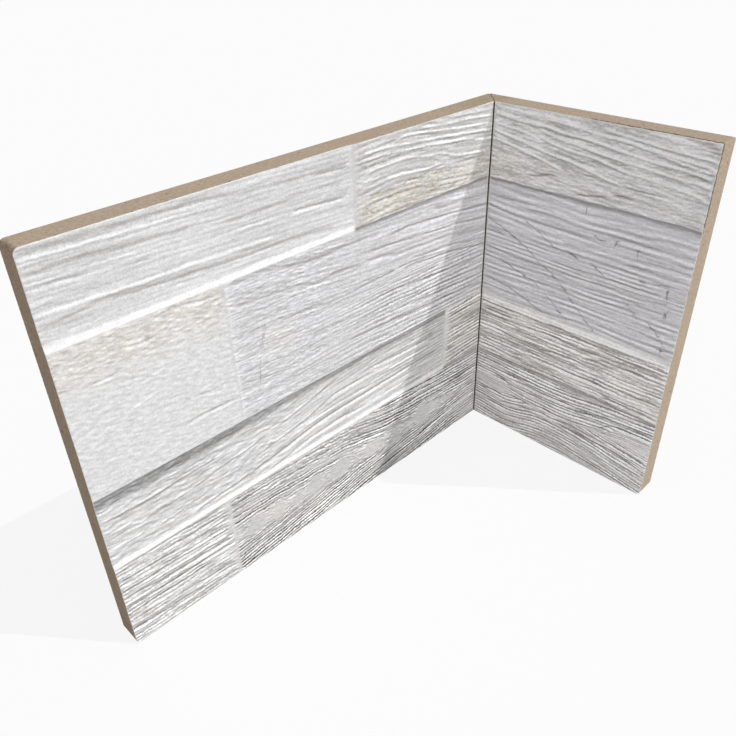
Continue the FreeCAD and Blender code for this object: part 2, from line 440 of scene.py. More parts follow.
PLASTER_STROKES = (
    (SCRATCH, ((-2, 45.3), (8, 45.1), (18, 44.8))),
    (STAIN, ((40, 43.0), (48, 41.5), (58, 42.0), (66, 43.2), (74, 43.9))),
    (SWELL, ((50, 43.8), (58, 44.2), (67, 44.8))),
    (STAIN, ((30, 50.2), (38, 50.0), (46, 52.3))),
    (SWELL, ((31, 52.4), (35, 52.5), (39, 52.5))),
    (SCRATCH, ((-2, 56.2), (4, 56.8), (9, 57.7))),
    (SCRATCH, ((9, 58.2), (16, 58.4), (22, 58.2), (27, 56.4))),
    (LIP, ((10, 59.4), (17, 59.7), (23, 59.4))),
    (SCRATCH, ((19, 62.8), (28, 63.6), (36, 64.8))),
    (SCRATCH, ((61, 63.6), (65, 61.8), (73, 62.0))),
    (LIP, ((22, 77.6), (32, 75.4), (42, 73.8))),
    (SCRATCH, ((41, 80.4), (46, 80.5), (52, 82.3))),
    (SCRATCH, ((43, 85.2), (53, 85.1), (58, 85.8), (74, 85.5))),
    (GROOVE, ((45, 96.4), (58, 95.6), (64, 96.0), (75, 96.4))),
    (LIP, ((45, 97.7), (58, 97.2), (66, 97.6), (75, 97.8))),
    (SCRATCH, ((-2, 96.4), (3, 96.4), (7, 96.8))),
)


def plaster_plank(u, v):
    """Nearly bare of grain: small soft bumps, creamy and finely cracked towards the top."""
    lean = v - 0.25 * u
    rise = 0.090 * fractal(u / 3.6, lean / 1.9, 101)
    upper = blend_in(v, 66, 46)
    crumbs = fractal(u / 4.5, (v + 1.0 * noise(u / 6, v / 6, 108)) / 1.5, 105)
    rise = rise + 0.11 * upper * crumbs
    torn = np.clip(fractal(u / 2, v, 133, 2) + 0.6, 0, 1)
    fissures = upper * crests(u, lean, 3.4, 13, 128, 0.11) * torn
    rise = rise - 0.10 * fissures
    stroke_rise, dark = drawn(u, v, PLASTER_STROKES, 110)
    broken = np.clip(0.6 + 1.0 * fractal(u / 2.2, v / 1.2, 126, 2), 0, 1.2)
    stroke_rise = stroke_rise * (0.5 + 0.5 * broken)
    dark = np.maximum(dark * broken, 0.26 * upper * np.clip(-crumbs - 0.30, 0, 1))
    dark = np.maximum(dark, 0.34 * fissures)
    cream = upper * (0.65 + 0.45 * noise(u / 12, v / 4, 120))
    warm = upper * np.clip(0.14 + 0.6 * fractal(u / 9, v / 1.6, 124), 0, 1)
    stains = ((CREAM, 0.75 * cream), (SAND, warm))
    return grain(rise + stroke_rise, dark, v, 2.0, 0.0, stains)


CHECKED_STROKES = (
    (HOLLOW, ((76, 41.8), (90, 41.4), (102, 42.6), (114, 45.2), (150, 45.8), (168, 46.6))),
    (SCRATCH, ((77, 49.4), (88, 49.0), (101, 48.4))),
    (HOLLOW, ((77, 52.4), (90, 53.5), (112, 54.8), (125, 57.6), (140, 57.6), (156, 59.0))),
    (SCRATCH, ((138, 60.0), (148, 60.0), (156, 59.8))),
    (SCRATCH, ((76, 90.3), (87, 92.6), (102, 94.8))),
    (SCRATCH, ((101, 100.4), (114, 101.0), (124, 101.3), (137, 102.0))),
    (HOLLOW, ((204, 45.2), (214, 46.6), (226, 47.3), (238, 48.4), (252, 49.6), (271, 51.6),
              (290, 52.4), (312, 53.3), (337, 54.2), (371, 54.4))),
    (GROOVE, ((172, 49.8), (186, 49.2), (196, 49.7), (208, 50.9), (229, 52.9), (240, 54.4),
              (252, 55.8), (267, 57.7), (278, 58.6), (298, 58.5), (317, 59.5), (344, 60),
              (371, 60.1))),
    (GROOVE, ((156, 54.3), (174, 54.8), (186, 56.0), (198, 56.8), (213, 58.6), (225, 59.0),
              (234, 60.8), (252, 63.4), (262, 65.6))),
    (HOLLOW, ((154, 58.4), (166, 59.2), (176, 61.0), (197, 62.9), (220, 64.6), (232, 66.5),
              (252, 69.5), (266, 71.0))),
    (GROOVE, ((176, 69.6), (190, 69.9), (205, 71.2), (217, 72.5))),
    (FURROW, ((181, 71.5), (193, 71.6), (207, 73.2), (219, 74.2), (230, 75.8), (252, 79.8),
              (266, 81.6), (288, 82.3), (310, 82.2), (336, 81.1), (366, 80.8))),
    (GROOVE, ((188, 67.6), (202, 69.0), (220, 70.0), (233, 72.8), (252, 75.2))),
    (SCRATCH, ((172, 76.2), (186, 77.4), (199, 78.3), (213, 79.4))),
    (GROOVE, ((163, 80.9), (178, 81.4), (195, 82.6), (214, 84.1), (226, 85.4), (252, 86.1),
              (272, 86.8), (298, 86.8), (318, 86.2), (336, 85.7), (366, 86.1))),
    (SCRATCH, ((130, 83.7), (142, 84.6), (154, 85.4))),
    (FURROW, ((141, 97.0), (165, 98.2), (180, 99.1), (208, 100.5), (233, 102.5), (253, 103.8))),
    (GROOVE, ((194, 90.4), (214, 91.6), (236, 92.8), (254, 94.4))),
    (GROOVE, ((186, 94.2), (210, 95.4), (232, 96.8), (254, 98.4))),
    (HOLLOW, ((300, 65.1), (312, 65.2), (322, 64.6))),
    (SCRATCH, ((321, 66.8), (327, 64.6), (333, 64.9), (338, 66.5))),
    (HOLLOW, ((336, 66.4), (350, 66.5), (370, 66.7))),
    (HOLLOW, ((277, 71.2), (294, 70.7), (310, 70.4), (330, 70.1), (352, 70.3), (367, 70.7))),
    (HOLLOW, ((253, 69.2), (259, 70.2), (266, 71.2))),
    (HOLLOW, ((294, 77.4), (317, 77.7), (336, 76.9), (360, 76.9))),
    (GROOVE, ((284, 92.4), (306, 91.6), (330, 90.8), (352, 90.2))),
    (LIP, ((311, 92.4), (328, 91.8), (344, 92.2))),
)
CHECK_LINES = (
    ((77.5, 66.4), (88.5, 66.7), (102, 66.8), (111.5, 68.0), (124, 68.8), (127, 70.2),
     (135, 70.7), (150, 70.6), (160, 69.7), (169, 69.7), (178, 69.4)),
    ((75.5, 85.3), (83, 85.1), (91, 85.6), (100, 87.0), (104, 87.8), (110, 88.5), (122, 88.4),
     (136, 88.2), (144, 89.0), (161, 88.7), (166, 89.2), (181, 89.2), (197, 90.4)),
    ((92.8, 67.6), (90.9, 73.6), (91.3, 81.5)),
    ((88.9, 80.2), (87.5, 86.1), (87.0, 93.3), (85.1, 99.8)),
    ((276, 58.4), (282.5, 60.9), (288.6, 64.3), (294, 67.0), (299, 69.4)),
    ((304, 68.3), (308, 69.6), (313.5, 71.8)),
    ((318, 70.2), (323, 73.0), (329, 76.6)),
    ((253, 63.9), (262, 66.2), (272.6, 70.8), (277.2, 72.7), (284.8, 77.3), (290.2, 81.1),
     (294.7, 82.7), (300.9, 86.9), (306.2, 90.7), (311.5, 96.4), (318.4, 102.1), (328.5, 110)),
    ((262, 86.1), (271, 88.0), (281, 91.0), (286.4, 92.6), (292, 95.5)),
    ((293, 96.6), (297.8, 99.5), (300.9, 101.7), (304.7, 105.2), (312, 109)),
    ((253, 98.3), (263.5, 100.6), (272, 101.8), (282.5, 105.0), (288, 107.1), (298, 111)),
    ((339, 85.5), (342.8, 86.9), (346.7, 90.7), (351, 95)),
    ((352, 91.4), (357.3, 94.5), (362.7, 99.8), (368.5, 104.8)),
    ((331.4, 54.4), (331.6, 57.0), (329.9, 59.6)),
    ((317.2, 54.2), (320, 56.7), (326.5, 56.9)),
    ((343.6, 63.2), (343.2, 57.1), (344.6, 54.8)),
    ((345, 55.4), (347, 54.2), (350, 53.6)),
    ((313, 42.0), (312.6, 46.4)),
    ((345.5, 69.8), (347.4, 72.0), (351, 73.1)),
    ((353, 72.6), (357.3, 70.8), (362.5, 71.2)),
    ((361.9, 70.8), (361.5, 75.4), (362.3, 78.5), (361.9, 81)),
    ((365.5, 80.2), (363, 85.3), (364.4, 89.6)),
    ((361.5, 105.2), (365, 105.4), (369.5, 104.9)),
)


def checked_plank(u, v):
    """Broad calm lines that run downhill, fine straight ones low on the right, and checks."""
    fall = through(u, ((75, 0), (112, 2), (156, 6), (208, 8.5), (252, 13), (290, 15), (371, 15)))
    g = v - fall * blend_in(v, 100, 60) + 0.8 * noise(u / 50, v / 18, 131)
    low = v - 0.030 * np.clip(u - 140, 0, 112) + 0.35 * noise(u / 30, v / 8, 140)
    fine = blend_in(v, 68, 82) * blend_in(u, 125, 190)
    across = g * (1 - fine) + low * fine
    rise = 0.09 * streaks(u, g, 1.5, 36, 132) * (1 - 0.5 * fine)
    rise = rise + 0.11 * blend_in(u, 165, 105) * fractal(u / 4, g / 1.1, 136)
    rise = rise + 0.04 * fractal(u / 3.0, g / 0.9, 143, 2)
    past = blend_in(u, 225, 262)
    swell = np.cos(2 * math.pi * (g + 1.3 * noise(u / 28, v / 9, 146)) / 4.1)
    rise = rise + 0.12 * past * swell * np.clip(0.6 + 0.8 * noise(u / 22, v / 7, 148), 0, 1)
    stroke_rise, dark = drawn(u, v, CHECKED_STROKES, 150)
    lines = np.clip(0.18 + 0.38 * fine - 0.2 * blend_in(u, 120, 90), 0, 1)
    stroke_rise = stroke_rise * (1 - 0.35 * past)
    dark = dark * (1 - 0.4 * past)
    lines = lines * (1 - 0.6 * past)
    beside, opened = checks(u, v, CHECK_LINES)
    opened = opened * (0.5 + 0.5 * blend_in(u, 105, 230))
    cream = 0.40 * around(u, v, (101, 76), (9, 7)) + 0.3 * around(u, v, (318, 81.5), (4, 2.2))
    stains = ((CREAM, cream),)
    return grain(rise + stroke_rise, dark, across, 2.45, lines, stains, (beside, opened))


SWEEPING_STROKES = (
    (SCRATCH, ((-2, 115.4), (12, 115.8), (24, 116.2))),
    (LIP, ((-2, 118.4), (4, 118.0), (9, 118.3))),
    (LIP, ((22, 118.4), (29, 117.4), (38, 118.0), (56, 117.6))),
    (SCRATCH, ((30, 114.4), (48, 114.0), (71, 114.2))),
    (LIP, ((-2, 121.8), (6, 122.3), (23, 122.9), (35, 122.5), (49, 121.8), (64, 121.8))),
    (HOLLOW, ((2, 123.6), (28, 124.0), (44, 122.8), (60, 122.4))),
    (LIP, ((-2, 131.2), (6, 130.7), (13, 131.0), (15.5, 132.6), (18, 132.8), (24, 130.8),
           (31, 130.4), (35, 131.0), (42, 131.0), (52, 129.6))),
    (GROOVE, ((-2, 132.9), (8, 132.9), (14, 132.0))),
    (SCRATCH, ((21, 133.0), (34, 132.4), (48, 131.0), (58, 129.4), (70, 128.2), (82, 126.4))),
    (LIP, ((51, 129.0), (54, 127.8), (60, 128.2))),
    (RIDGE, ((66, 126.8), (73, 127.4), (82, 125.4))),
    (SCRATCH, ((68, 128.4), (76, 127.6), (82, 126.4), (90, 124.8))),
    (LIP, ((-2, 137.8), (7, 138.6), (19, 139.2))),
    (LIP, ((8, 133.8), (14, 134.4), (21, 134.5))),
    (LIP, ((-2, 141.8), (4, 141.6), (10, 142.4))),
    (RIDGE, ((22, 141.4), (26, 139.8), (31, 140.0), (33.5, 141.6), (36, 141.0))),
    (LIP, ((52, 140.0), (57, 138.6), (62, 139.6), (70, 138.8))),
    (RIDGE, ((58, 136.0), (63, 134.6), (67, 133.2), (72, 134.0))),
    (LIP, ((51, 134.8), (56, 134.2), (60, 134.8))),
    (LIP, ((70, 131.0), (74, 130.0), (78, 131.2))),
    (RIDGE, ((82, 134.6), (85, 132.6), (87.7, 130.6), (91, 131.8), (100, 130.6), (112, 128.8),
             (118, 127.2))),
    (GROOVE, ((83, 135.0), (91, 132.8), (100, 131.8), (112, 130.0), (120, 127.8), (126, 125.6),
              (135, 124.2), (146, 124.5), (162, 124.8))),
    (SWELL, ((124, 127.6), (136, 126.2), (150, 125.9), (164, 126.4), (175, 126.8))),
    (LIP, ((38, 146.2), (47, 143.7), (56, 143.0), (66, 142.4), (76, 141.2))),
    (GROOVE, ((42, 146.6), (50, 144.7), (64, 143.8), (78, 142.4), (92, 140.5), (104, 138.6),
              (118, 136.6), (128, 135.9), (145, 135.4), (165, 135.1), (185, 134.8), (214, 134.8))),
    (FURROW, ((76, 142.5), (92, 140.5), (104, 138.6), (118, 136.6), (140, 135.5), (180, 134.9),
              (214, 134.9))),
    (SWELL, ((92, 142.4), (108, 139.4), (125, 137.6), (150, 136.8), (190, 136.4))),
    (GROOVE, ((72, 148.4), (86, 147.4), (98, 145.6), (108, 143.3), (122, 142.2), (135, 141.5),
              (146, 142.4), (157, 142.6))),
    (SWELL, ((100, 146.0), (114, 144.2), (132, 143.2), (150, 143.8), (186, 143.6))),
    (SCRATCH, ((162, 142.5), (174, 142.4), (186, 142.6), (204, 142.8))),
    (GROOVE, ((94, 124.6), (104, 122.9), (112, 121.0), (122, 119.0), (130, 116.6), (137, 115.0))),
    (LIP, ((96, 123.4), (106, 121.4), (116, 118.6), (128, 115.6))),
    (SCRATCH, ((128, 119.6), (140, 118.8), (150, 118.5), (160, 116.6), (169, 115.0))),
    (LIP, ((150, 120.0), (160, 117.8), (170, 115.6))),
    (GROOVE, ((160, 121.0), (166, 121.6), (174, 121.8), (183, 122.4), (196, 122.5), (207, 122.8))),
    (RIDGE, ((158, 121.8), (166, 122.9), (176, 123.3), (196, 123.7))),
    (GROOVE, ((119, 131.9), (134, 131.4), (150, 131.1), (160, 131.5))),
    (SWELL, ((108, 133.6), (124, 132.8), (146, 132.4), (162, 132.6))),
    (SCRATCH, ((170, 130.6), (186, 130.4), (206, 130.6))),
    (LIP, ((168, 128.6), (186, 128.4), (204, 128.8))),
)


def sweeping_plank(u, v):
    """Ridges that sweep uphill to the right, broken into short wavy ones on the left."""
    lift = through(u, ((40, 0), (64, 2.5), (92, 6), (118, 10), (140, 11.5), (219, 12)))
    g = v + lift * blend_in(v, 150, 138) + 0.7 * noise(u / 40, v / 12, 201)
    ruffled = blend_in(u, 132, 78)
    rise = 0.10 * streaks(u, g, 1.5, 28, 202) + 0.05 * crests(u, g, 2.2, 22, 205) * (1 - ruffled)
    wavy = v + 1.4 * noise(u / 6, v / 5, 212)
    rise = rise + 0.18 * ruffled * fractal(u / 6.5, wavy / 1.7, 213)
    rise = rise + 0.03 * fractal(u / 3.5, g / 0.9, 216, 2)
    rise = rise + 0.08 * blend_in(u, 165, 195) * streaks(u, g, 1.2, 22, 219)
    knot = around(u, v, (206.5, 122.2), (2.6, 1.9))
    stroke_rise, dark = drawn(u, v, SWEEPING_STROKES, 820)
    rise = rise + (1 + 0.20 * ruffled) * stroke_rise - 0.16 * knot
    cream = 0.12 + 0.12 * noise(u / 20, v / 6, 218)
    lines = (0.20 + 0.22 * blend_in(u, 165, 195)) * (1 - ruffled)
    return grain(rise, np.maximum(dark, 0.30 * knot), g, 2.2, lines, ((CREAM, cream),))


STRAIGHT_STROKES = (
    (FURROW, ((221, 115.9), (238, 115.8), (252, 115.8), (266, 116.2), (278, 116.6))),
    (HOLLOW, ((221, 121.4), (232, 121.5), (252, 121.8))),
    (FURROW, ((221, 124.2), (236, 123.8), (252, 123.8), (262, 123.8), (274, 124.0))),
    (GROOVE, ((222, 132.6), (229, 132.4), (233, 133.6), (240, 132.0), (252, 132.2))),
    (GROOVE, ((222, 143.0), (230, 141.6), (240, 140.6), (252, 140.0), (263, 140.4))),
    (LIP, ((222, 144.4), (230, 143.0), (240, 142.0), (252, 141.4))),
    (GROOVE, ((253, 119.0), (264, 118.8), (276, 118.8))),
    (FURROW, ((253, 120.9), (265, 120.8), (277, 120.8))),
    (GROOVE, ((297, 115.8), (315, 116.5), (335, 117.0), (347, 115.8), (360, 115.5), (371, 116.0))),
    (FURROW, ((294, 121.8), (305, 122.0), (315, 122.8), (325, 123.3), (333, 122.4))),
    (GROOVE, ((331, 123.8), (341, 124.5), (350, 124.2), (362, 123.4))),
    (GROOVE, ((329, 118.0), (340, 118.8), (353, 120.0), (371, 119.5))),
    (FURROW, ((264, 130.8), (271, 132.5), (285, 132.8), (300, 133.0), (306, 131.6), (315, 131.0),
              (326, 131.9), (338, 132.3))),
    (LIP, ((270, 134.0), (285, 134.4), (300, 134.4))),
    (FURROW, ((276, 133.8), (291, 134.2), (302, 135.0), (318, 135.0), (324, 134.2))),
    (GROOVE, ((328, 137.0), (341, 138.0), (350, 138.6), (371, 138.0))),
    (FURROW, ((308, 140.6), (324, 140.5), (339, 140.0))),
    (FURROW, ((333, 144.4), (341, 146.0), (349, 146.9), (355, 145.8))),
    (LIP, ((334, 145.8), (341, 147.4), (349, 148.2))),
    (GROOVE, ((253, 145.0), (266, 145.4), (276, 146.4), (290, 146.2))),
    (GROOVE, ((253, 137.4), (268, 137.0), (284, 137.6), (298, 138.4))),
    (LIP, ((268, 127.0), (284, 124.8), (298, 125.4), (308, 127.6))),
)


def straight_plank(u, v):
    """Warm, straight and fine, with thin dark furrows."""
    g = v + 0.010 * (u - BUTT_3) + 0.6 * noise(u / 34, v / 9, 241)
    rise = 0.11 * streaks(u, g, 1.2, 28, 242) + 0.11 * crests(u, g, 2.1, 26, 245)
    rise = rise + 0.08 * streaks(u, g, 3.4, 30, 258)
    grooves = crests(u, g, 2.0, 28, 249, 0.13)
    stroke_rise, dark = drawn(u, v, STRAIGHT_STROKES, 880)
    warm = np.clip(0.5 + 0.6 * streaks(u, g, 2.2, 26, 255), 0, 1)
    dark = np.maximum(dark, 0.26 * grooves)
    past = past_corner(u)
    rise = rise - 0.15 * grooves + (1 + 0.35 * past) * stroke_rise
    rise = rise + 0.05 * past * fractal(u / 3.2, v / 1.6, 261)
    stains = ((CREAM, 0.15), (SAND, 0.38 * warm))
    return grain(rise, dark, g, 2.3, 0.72 - 0.16 * past, stains)


FURROWED_STROKES = (
    (GROOVE, ((38, 151.3), (47, 152.2), (52, 151.4), (58, 150.9))),
    (GROOVE, ((40, 155.7), (46, 155.5), (51, 155.5))),
    (GROOVE, ((-2, 153.2), (4, 153.0), (9, 153.4))),
    (FURROW, ((-2, 158.9), (11, 158.8), (19, 159.5), (32, 160.3), (47, 161.6), (59, 163.2))),
    (FURROW, ((-2, 164.7), (8, 165.0), (19, 165.5), (34, 166.0), (42, 166.6), (59, 167.2))),
    (FURROW, ((-2, 169.6), (8, 169.8), (18, 171.2), (28, 171.8), (46, 172.6), (59, 172.9))),
    (FURROW, ((-2, 174.8), (9, 174.8), (21, 175.9), (34, 176.5), (46, 176.8), (59, 177.3))),
    (GROOVE, ((-2, 179.3), (13, 179.5), (25, 180.1), (40, 180.3), (54, 180.0))),
    (SCRATCH, ((-2, 177.2), (10, 177.1), (22, 178.2))),
    (SCRATCH, ((-2, 182.0), (12, 181.8), (24, 182.4))),
    (GROOVE, ((26, 188.0), (34, 188.0), (42, 189.0), (58, 188.7))),
    (FURROW, ((-2, 189.5), (5, 190.3), (17, 191.3), (30, 191.8), (41, 193.2))),
    (GROOVE, ((18, 195.8), (27, 196.0), (34, 195.4))),
    (LIP, ((34, 184.4), (38, 187.2), (41, 187.6), (44, 186.6))),
    (SCRATCH, ((42, 182.4), (49, 183.6), (56, 182.2))),
    (RIDGE, ((-2, 163.2), (12, 163.4), (30, 164.4), (58, 165.6))),
    (RIDGE, ((13, 168.2), (28, 168.6), (44, 169.8), (58, 170.4))),
    (RIDGE, ((-2, 172.4), (14, 173.6), (34, 174.6), (58, 175.2))),
    (RIDGE, ((-2, 156.6), (20, 157.0), (40, 158.4), (58, 159.6))),
)


def furrowed_plank(u, v):
    """Strong straight furrows with bright crests between them."""
    g = v - 0.035 * u + 0.4 * noise(u / 26, v / 8, 271)
    rise = 0.17 * streaks(u, g, 1.4, 18, 272) + 0.15 * crests(u, g, 2.3, 16, 275, 0.20)
    rise = rise + 0.10 * streaks(u, g, 3.4, 22, 278) + 0.10 * fractal(u / 2.2, v / 1.2, 281, 2)
    stroke_rise, dark = drawn(u, v, FURROWED_STROKES, 285)
    warm = np.clip(0.1 + 0.8 * streaks(u, g, 2.2, 20, 295), 0, 1)
    lines = 0.60 * np.clip(0.85 + 0.5 * fractal(u / 7, v / 3, 297, 2), 0.4, 1)
    return grain(rise + stroke_rise, dark, g, 2.1, lines, ((SAND, 0.40 * warm),))


# Smooth patches of the bottom row, with their reach along u and v, and the line that the
# grain parts along to flow round them.
Knot = namedtuple("Knot", "place reach")
KNOTS = (
    Knot((73.3, 176.3), (6.8, 5.8)),
    Knot((88.3, 175.0), (4.6, 7.6)),
    Knot((100.5, 177.0), (3.6, 4.2)),
    Knot((114.2, 175.5), (6.4, 7.4)),
    Knot((133.0, 174.6), (6.8, 7.2)),
    Knot((157.5, 175.2), (9.0, 6.0)),
    Knot((177.5, 178.2), (4.8, 4.4)),
    Knot((200.2, 174.4), (10.5, 7.0)),
    Knot((224.0, 173.4), (7.0, 3.0)),
    Knot((264.0, 170.8), (14.5, 5.6)),
    Knot((366.0, 169.6), (24.0, 7.0)),
)
KNOT_AXIS = ((60, 175.8), (140, 175.2), (200, 174.4), (232, 173.2), (265, 171.0), (296, 174.4),
             (320, 174.0), (338, 171.6), (371, 169.6))
# How far the lines above the knots have fallen, and how far those below have risen.
LINES_FALL = ((60, 0), (110, 2.5), (138, 5), (165, 11), (190, 13.5), (252, 16.5), (300, 17),
              (320, 16.4), (340, 14.2), (371, 12.6))
LINES_LIFT = ((60, 0), (110, 7), (150, 13), (200, 19), (252, 23.5), (281, 23), (298, 27),
              (310, 27.8), (339, 25.6), (371, 20.6))
KNOTTY_STROKES = (
    (FURROW, ((136, 159.4), (147, 160.8), (158, 163.8), (168, 165.6), (180, 165.6))),
    (RIDGE, ((138, 163.6), (150, 166.6), (160, 168.8), (172, 170.4))),
    (GROOVE, ((134, 157.4), (150, 157.6), (164, 161.0), (176, 162.4))),
    (FURROW, ((176, 157.2), (194, 158.8), (216, 161.0), (236, 162.8), (252, 164.0),
              (268, 164.6), (275, 166.4), (281, 170.6))),
    (RIDGE, ((176, 158.6), (194, 160.2), (216, 162.4), (236, 164.2), (252, 165.4))),
    (GROOVE, ((253, 160.1), (266, 160.5), (281, 160.2), (294, 159.1))),
    (FURROW, ((278, 162.5), (303, 162.9), (320, 162.3), (332, 162.0), (339, 160.7), (347, 160.0),
              (359, 159.2), (371, 159.5))),
    (RIDGE, ((278, 163.9), (303, 164.3), (320, 163.7), (332, 163.3), (340, 162.0))),
    (GROOVE, ((338, 171.0), (341, 167.6), (345, 164.5), (350, 162.8), (358, 162.0),
              (372, 161.2))),
    (RIDGE, ((340.5, 172.0), (343, 169.4), (347, 166.6), (351, 164.8), (358, 163.8),
             (372, 163.0))),
    (FURROW, ((338, 172.2), (341, 174.6), (349, 175.9), (360, 176.9), (371, 177.8))),
    (FURROW, ((279, 175.1), (286, 174.9), (295, 175.6))),
    (GROOVE, ((299, 173.5), (304, 173.0), (309, 173.4))),
    (FURROW, ((298, 176.8), (309, 177.3), (320, 176.5), (334, 177.0), (348, 177.4))),
    (FURROW, ((311, 178.9), (324, 179.0), (335, 179.8), (347, 179.8), (355, 180.9), (361, 182.5),
              (371, 184.6))),
    (GROOVE, ((262, 185.6), (281, 186.0), (289, 184.0), (298, 182.0), (310, 181.3), (320, 181.7),
              (328, 182.9), (339, 183.4), (350, 186.0), (371, 188.4))),
    (GROOVE, ((253, 178.0), (262, 177.4), (272, 176.8))),
    (GROOVE, ((270, 183.2), (281, 180.6), (287, 179.4), (296, 179.0))),
    (RIDGE, ((180, 191.4), (199, 189.0), (216, 188.2), (238, 185.4), (252, 184.6))),
    (GROOVE, ((213, 183.0), (222, 180.4), (229, 178.0), (240, 176.0), (252, 174.4))),
    (GROOVE, ((60, 188.4), (75, 186.8), (90, 184.8), (104, 182.6), (122, 179.4))),
    (FURROW, ((62, 191.6), (80, 189.8), (100, 186.6), (124, 183.0), (140, 181.6), (166, 181.4))),
)


def knotty_plank(u, v):
    """Fine dense grain that flows round a string of smooth knots."""
    axis = through(u, KNOT_AXIS)
    away = np.abs(v - axis)
    string = blend_in(u, 232, 212)
    bulge = np.zeros(u.shape)
    calm = np.zeros(u.shape)
    for knot in KNOTS:
        beside = (u - knot.place[0]) / knot.reach[0]
        above = (v - knot.place[1]) / knot.reach[1]
        bulge = bulge + knot.reach[1] * np.exp(-(beside / 1.3) ** 2)
        spot = beside ** 2 + above ** 2
        quiet = 0.95 if knot.place[0] < LONG_FACE else 0.45
        spot = spot + 0.7 * fractal(u / 6, v / 5, 321, 2)
        calm = np.maximum(calm, quiet * blend_in(spot, 1.1, 0.6))
    push = 0.55 * bulge * np.exp(-away / 7)
    upper = v + push - through(u, LINES_FALL)
    lower = v - push + through(u, LINES_LIFT)
    g = np.where(v < axis, upper, lower + 40) + 0.35 * noise(u / 20, v / 6, 301)
    busy = 1 - calm
    seam = blend_in(away, 0.2 + 0.6 * string, 0.9 + 2.3 * string)
    pressed = 0.07 * streaks(u, g, 1.1, 26, 313) - 0.13 * crests(u, g, 2.1, 34, 309)
    rise = busy * seam * (pressed + 0.09 * crests(u, g, 2.3, 32, 315))
    ruffled = np.maximum(blend_in(away, 11, 4) * string,
                         0.8 * blend_in(v, 168, 159) * blend_in(u, 195, 130))
    rise = rise * (1 - 0.45 * ruffled)
    warped = v + 2.2 * noise(u / 6, v / 6, 317)
    ripple = np.sin(2 * math.pi * warped / 1.9)
    ripple = ripple * np.clip(0.4 + 1.2 * noise(u / 5, v / 3, 319), 0, 1)
    crumpled = 0.15 * ripple + 0.12 * fractal(u / 3.4, warped / 1.5, 318, 2)
    rise = rise + busy * ruffled * crumpled
    rim = np.exp(-((calm - 0.45) / 0.22) ** 2) * string
    rise = rise + 0.10 * rim + 0.045 * fractal(u / 2.2, v / 1.3, 326)
    g = g + 0.8 * ruffled * noise(u / 4.5, v / 2.6, 331)
    stroke_rise, dark = drawn(u, v, KNOTTY_STROKES, 330)
    warm = np.zeros(u.shape)
    for place in ((88, 175), (157, 175), (113, 190), (75, 165), (300, 184)):
        warm = np.maximum(warm, around(u, v, place, (9, 7)))
    past = past_corner(u, before=30.0)
    bold = through(u, ((60, 0.90), (110, 0.98), (160, 1.16), (205, 1.35), (225, 1.35)))
    bold = bold - 0.72 * past
    rise = rise * bold + 0.08 * busy * streaks(u, g, 3.4, 24, 335)
    rise = rise + 0.06 * calm * string * fractal(u / 1.5, v / 1.0, 337, 2)
    lines = busy * seam * (1 - 0.55 * ruffled) * np.maximum(bold, 1.20 - 0.40 * past)
    stroke_rise = stroke_rise * (0.8 + 0.4 * past)
    stains = ((CREAM, 0.40 * warm), (SAND, 0.08))
    return grain(rise + stroke_rise, dark, g, 2.1, lines, stains)


GRAINS = {
    "soft": soft_plank,
    "wavy": wavy_plank,
    "plaster": plaster_plank,
    "checked": checked_plank,
    "sweeping": sweeping_plank,
    "straight": straight_plank,
    "furrowed": furrowed_plank,
    "knotty": knotty_plank,
}


# The whole face.

def plank_depth(plank, u, v):
    """How far the plank's relief lies behind the proudest planks, without its grain."""
    wobble = v + 0.12 * noise(u / 11, 0.5, 351) + 0.15 * noise(u / 60, 3.5, 352)
    from_left = u - plank.left
    to_right = plank.right - u
    from_top = wobble - plank.top
    to_foot = plank.foot - wobble
    endless = np.full(u.shape, 1e3)
    if plank.kind == "proud":
        left = from_left / BUTT_SLOPE
        top = from_top / ROW_SLOPE if plank.top > 0 else endless
        foot = to_foot / ROW_SLOPE if plank.foot < HEIGHT else endless
        nearest = np.minimum(np.minimum(left, top), foot)
        return PROUD_HEIGHT * (1 - nearest).clip(0, 1)
    if plank.kind == "dished":
        right = to_right / BUTT_COVE
        top = from_top / ROW_COVE if plank.top > 0 else endless
        foot = to_foot / ROW_COVE if plank.foot < HEIGHT else endless
        nearest = np.minimum(np.minimum(right, top), foot).clip(0, 1)
        return PROUD_HEIGHT + DISH_DEPTH * (1 - (1 - nearest) ** 2)
    groove = np.zeros(u.shape)
    for side, beside in ((plank.left, from_left), (plank.right, to_right)):
        if side in (BUTT_2, BUTT_4):
            groove = np.maximum(groove, 1 - beside / (BUTT_GROOVE_WIDTH / 2))
    return PROUD_HEIGHT + BUTT_GROOVE_DEPTH * ease(groove)


def margins(plank, u, v):
    """How much of the grain is left near the plank's ends and edges, from 0 to 1."""
    keep = np.ones(u.shape)
    ragged = u + 0.7 * fractal(v / 2.6, u / 6, 371, 2)
    if plank.left > 0:
        quiet = 3.2 if plank.kind == "proud" else 1.0
        keep = keep * (0.2 + 0.8 * blend_in(ragged - plank.left, 0.3 * quiet, quiet))
    if plank.right < FACE_END:
        keep = keep * (0.2 + 0.8 * blend_in(plank.right - ragged, 0.2, 0.9))
    if plank.kind == "dished":
        keep = keep * (0.25 + 0.75 * blend_in(plank.foot - v, 1.5, ROW_COVE))
    if plank.top > 0:
        keep = keep * blend_in(v - plank.top, 0, 0.8)
    if plank.foot < HEIGHT:
        keep = keep * blend_in(plank.foot - v, 0, 0.8)
    if plank.name == "straight":
        calm = past_corner(u) * blend_in(v - plank.top, 4.6, 3.2)
        keep = keep * (1 - 0.7 * calm)
    return keep


# How much paler the planks are painted past the corner, or darker where negative: painted light on
# the short wing, which the key light doesn't reach.
SHORT_WING_LIGHT = {"wavy": 0.09, "checked": -0.045, "straight": 0.03, "knotty": 0.03}


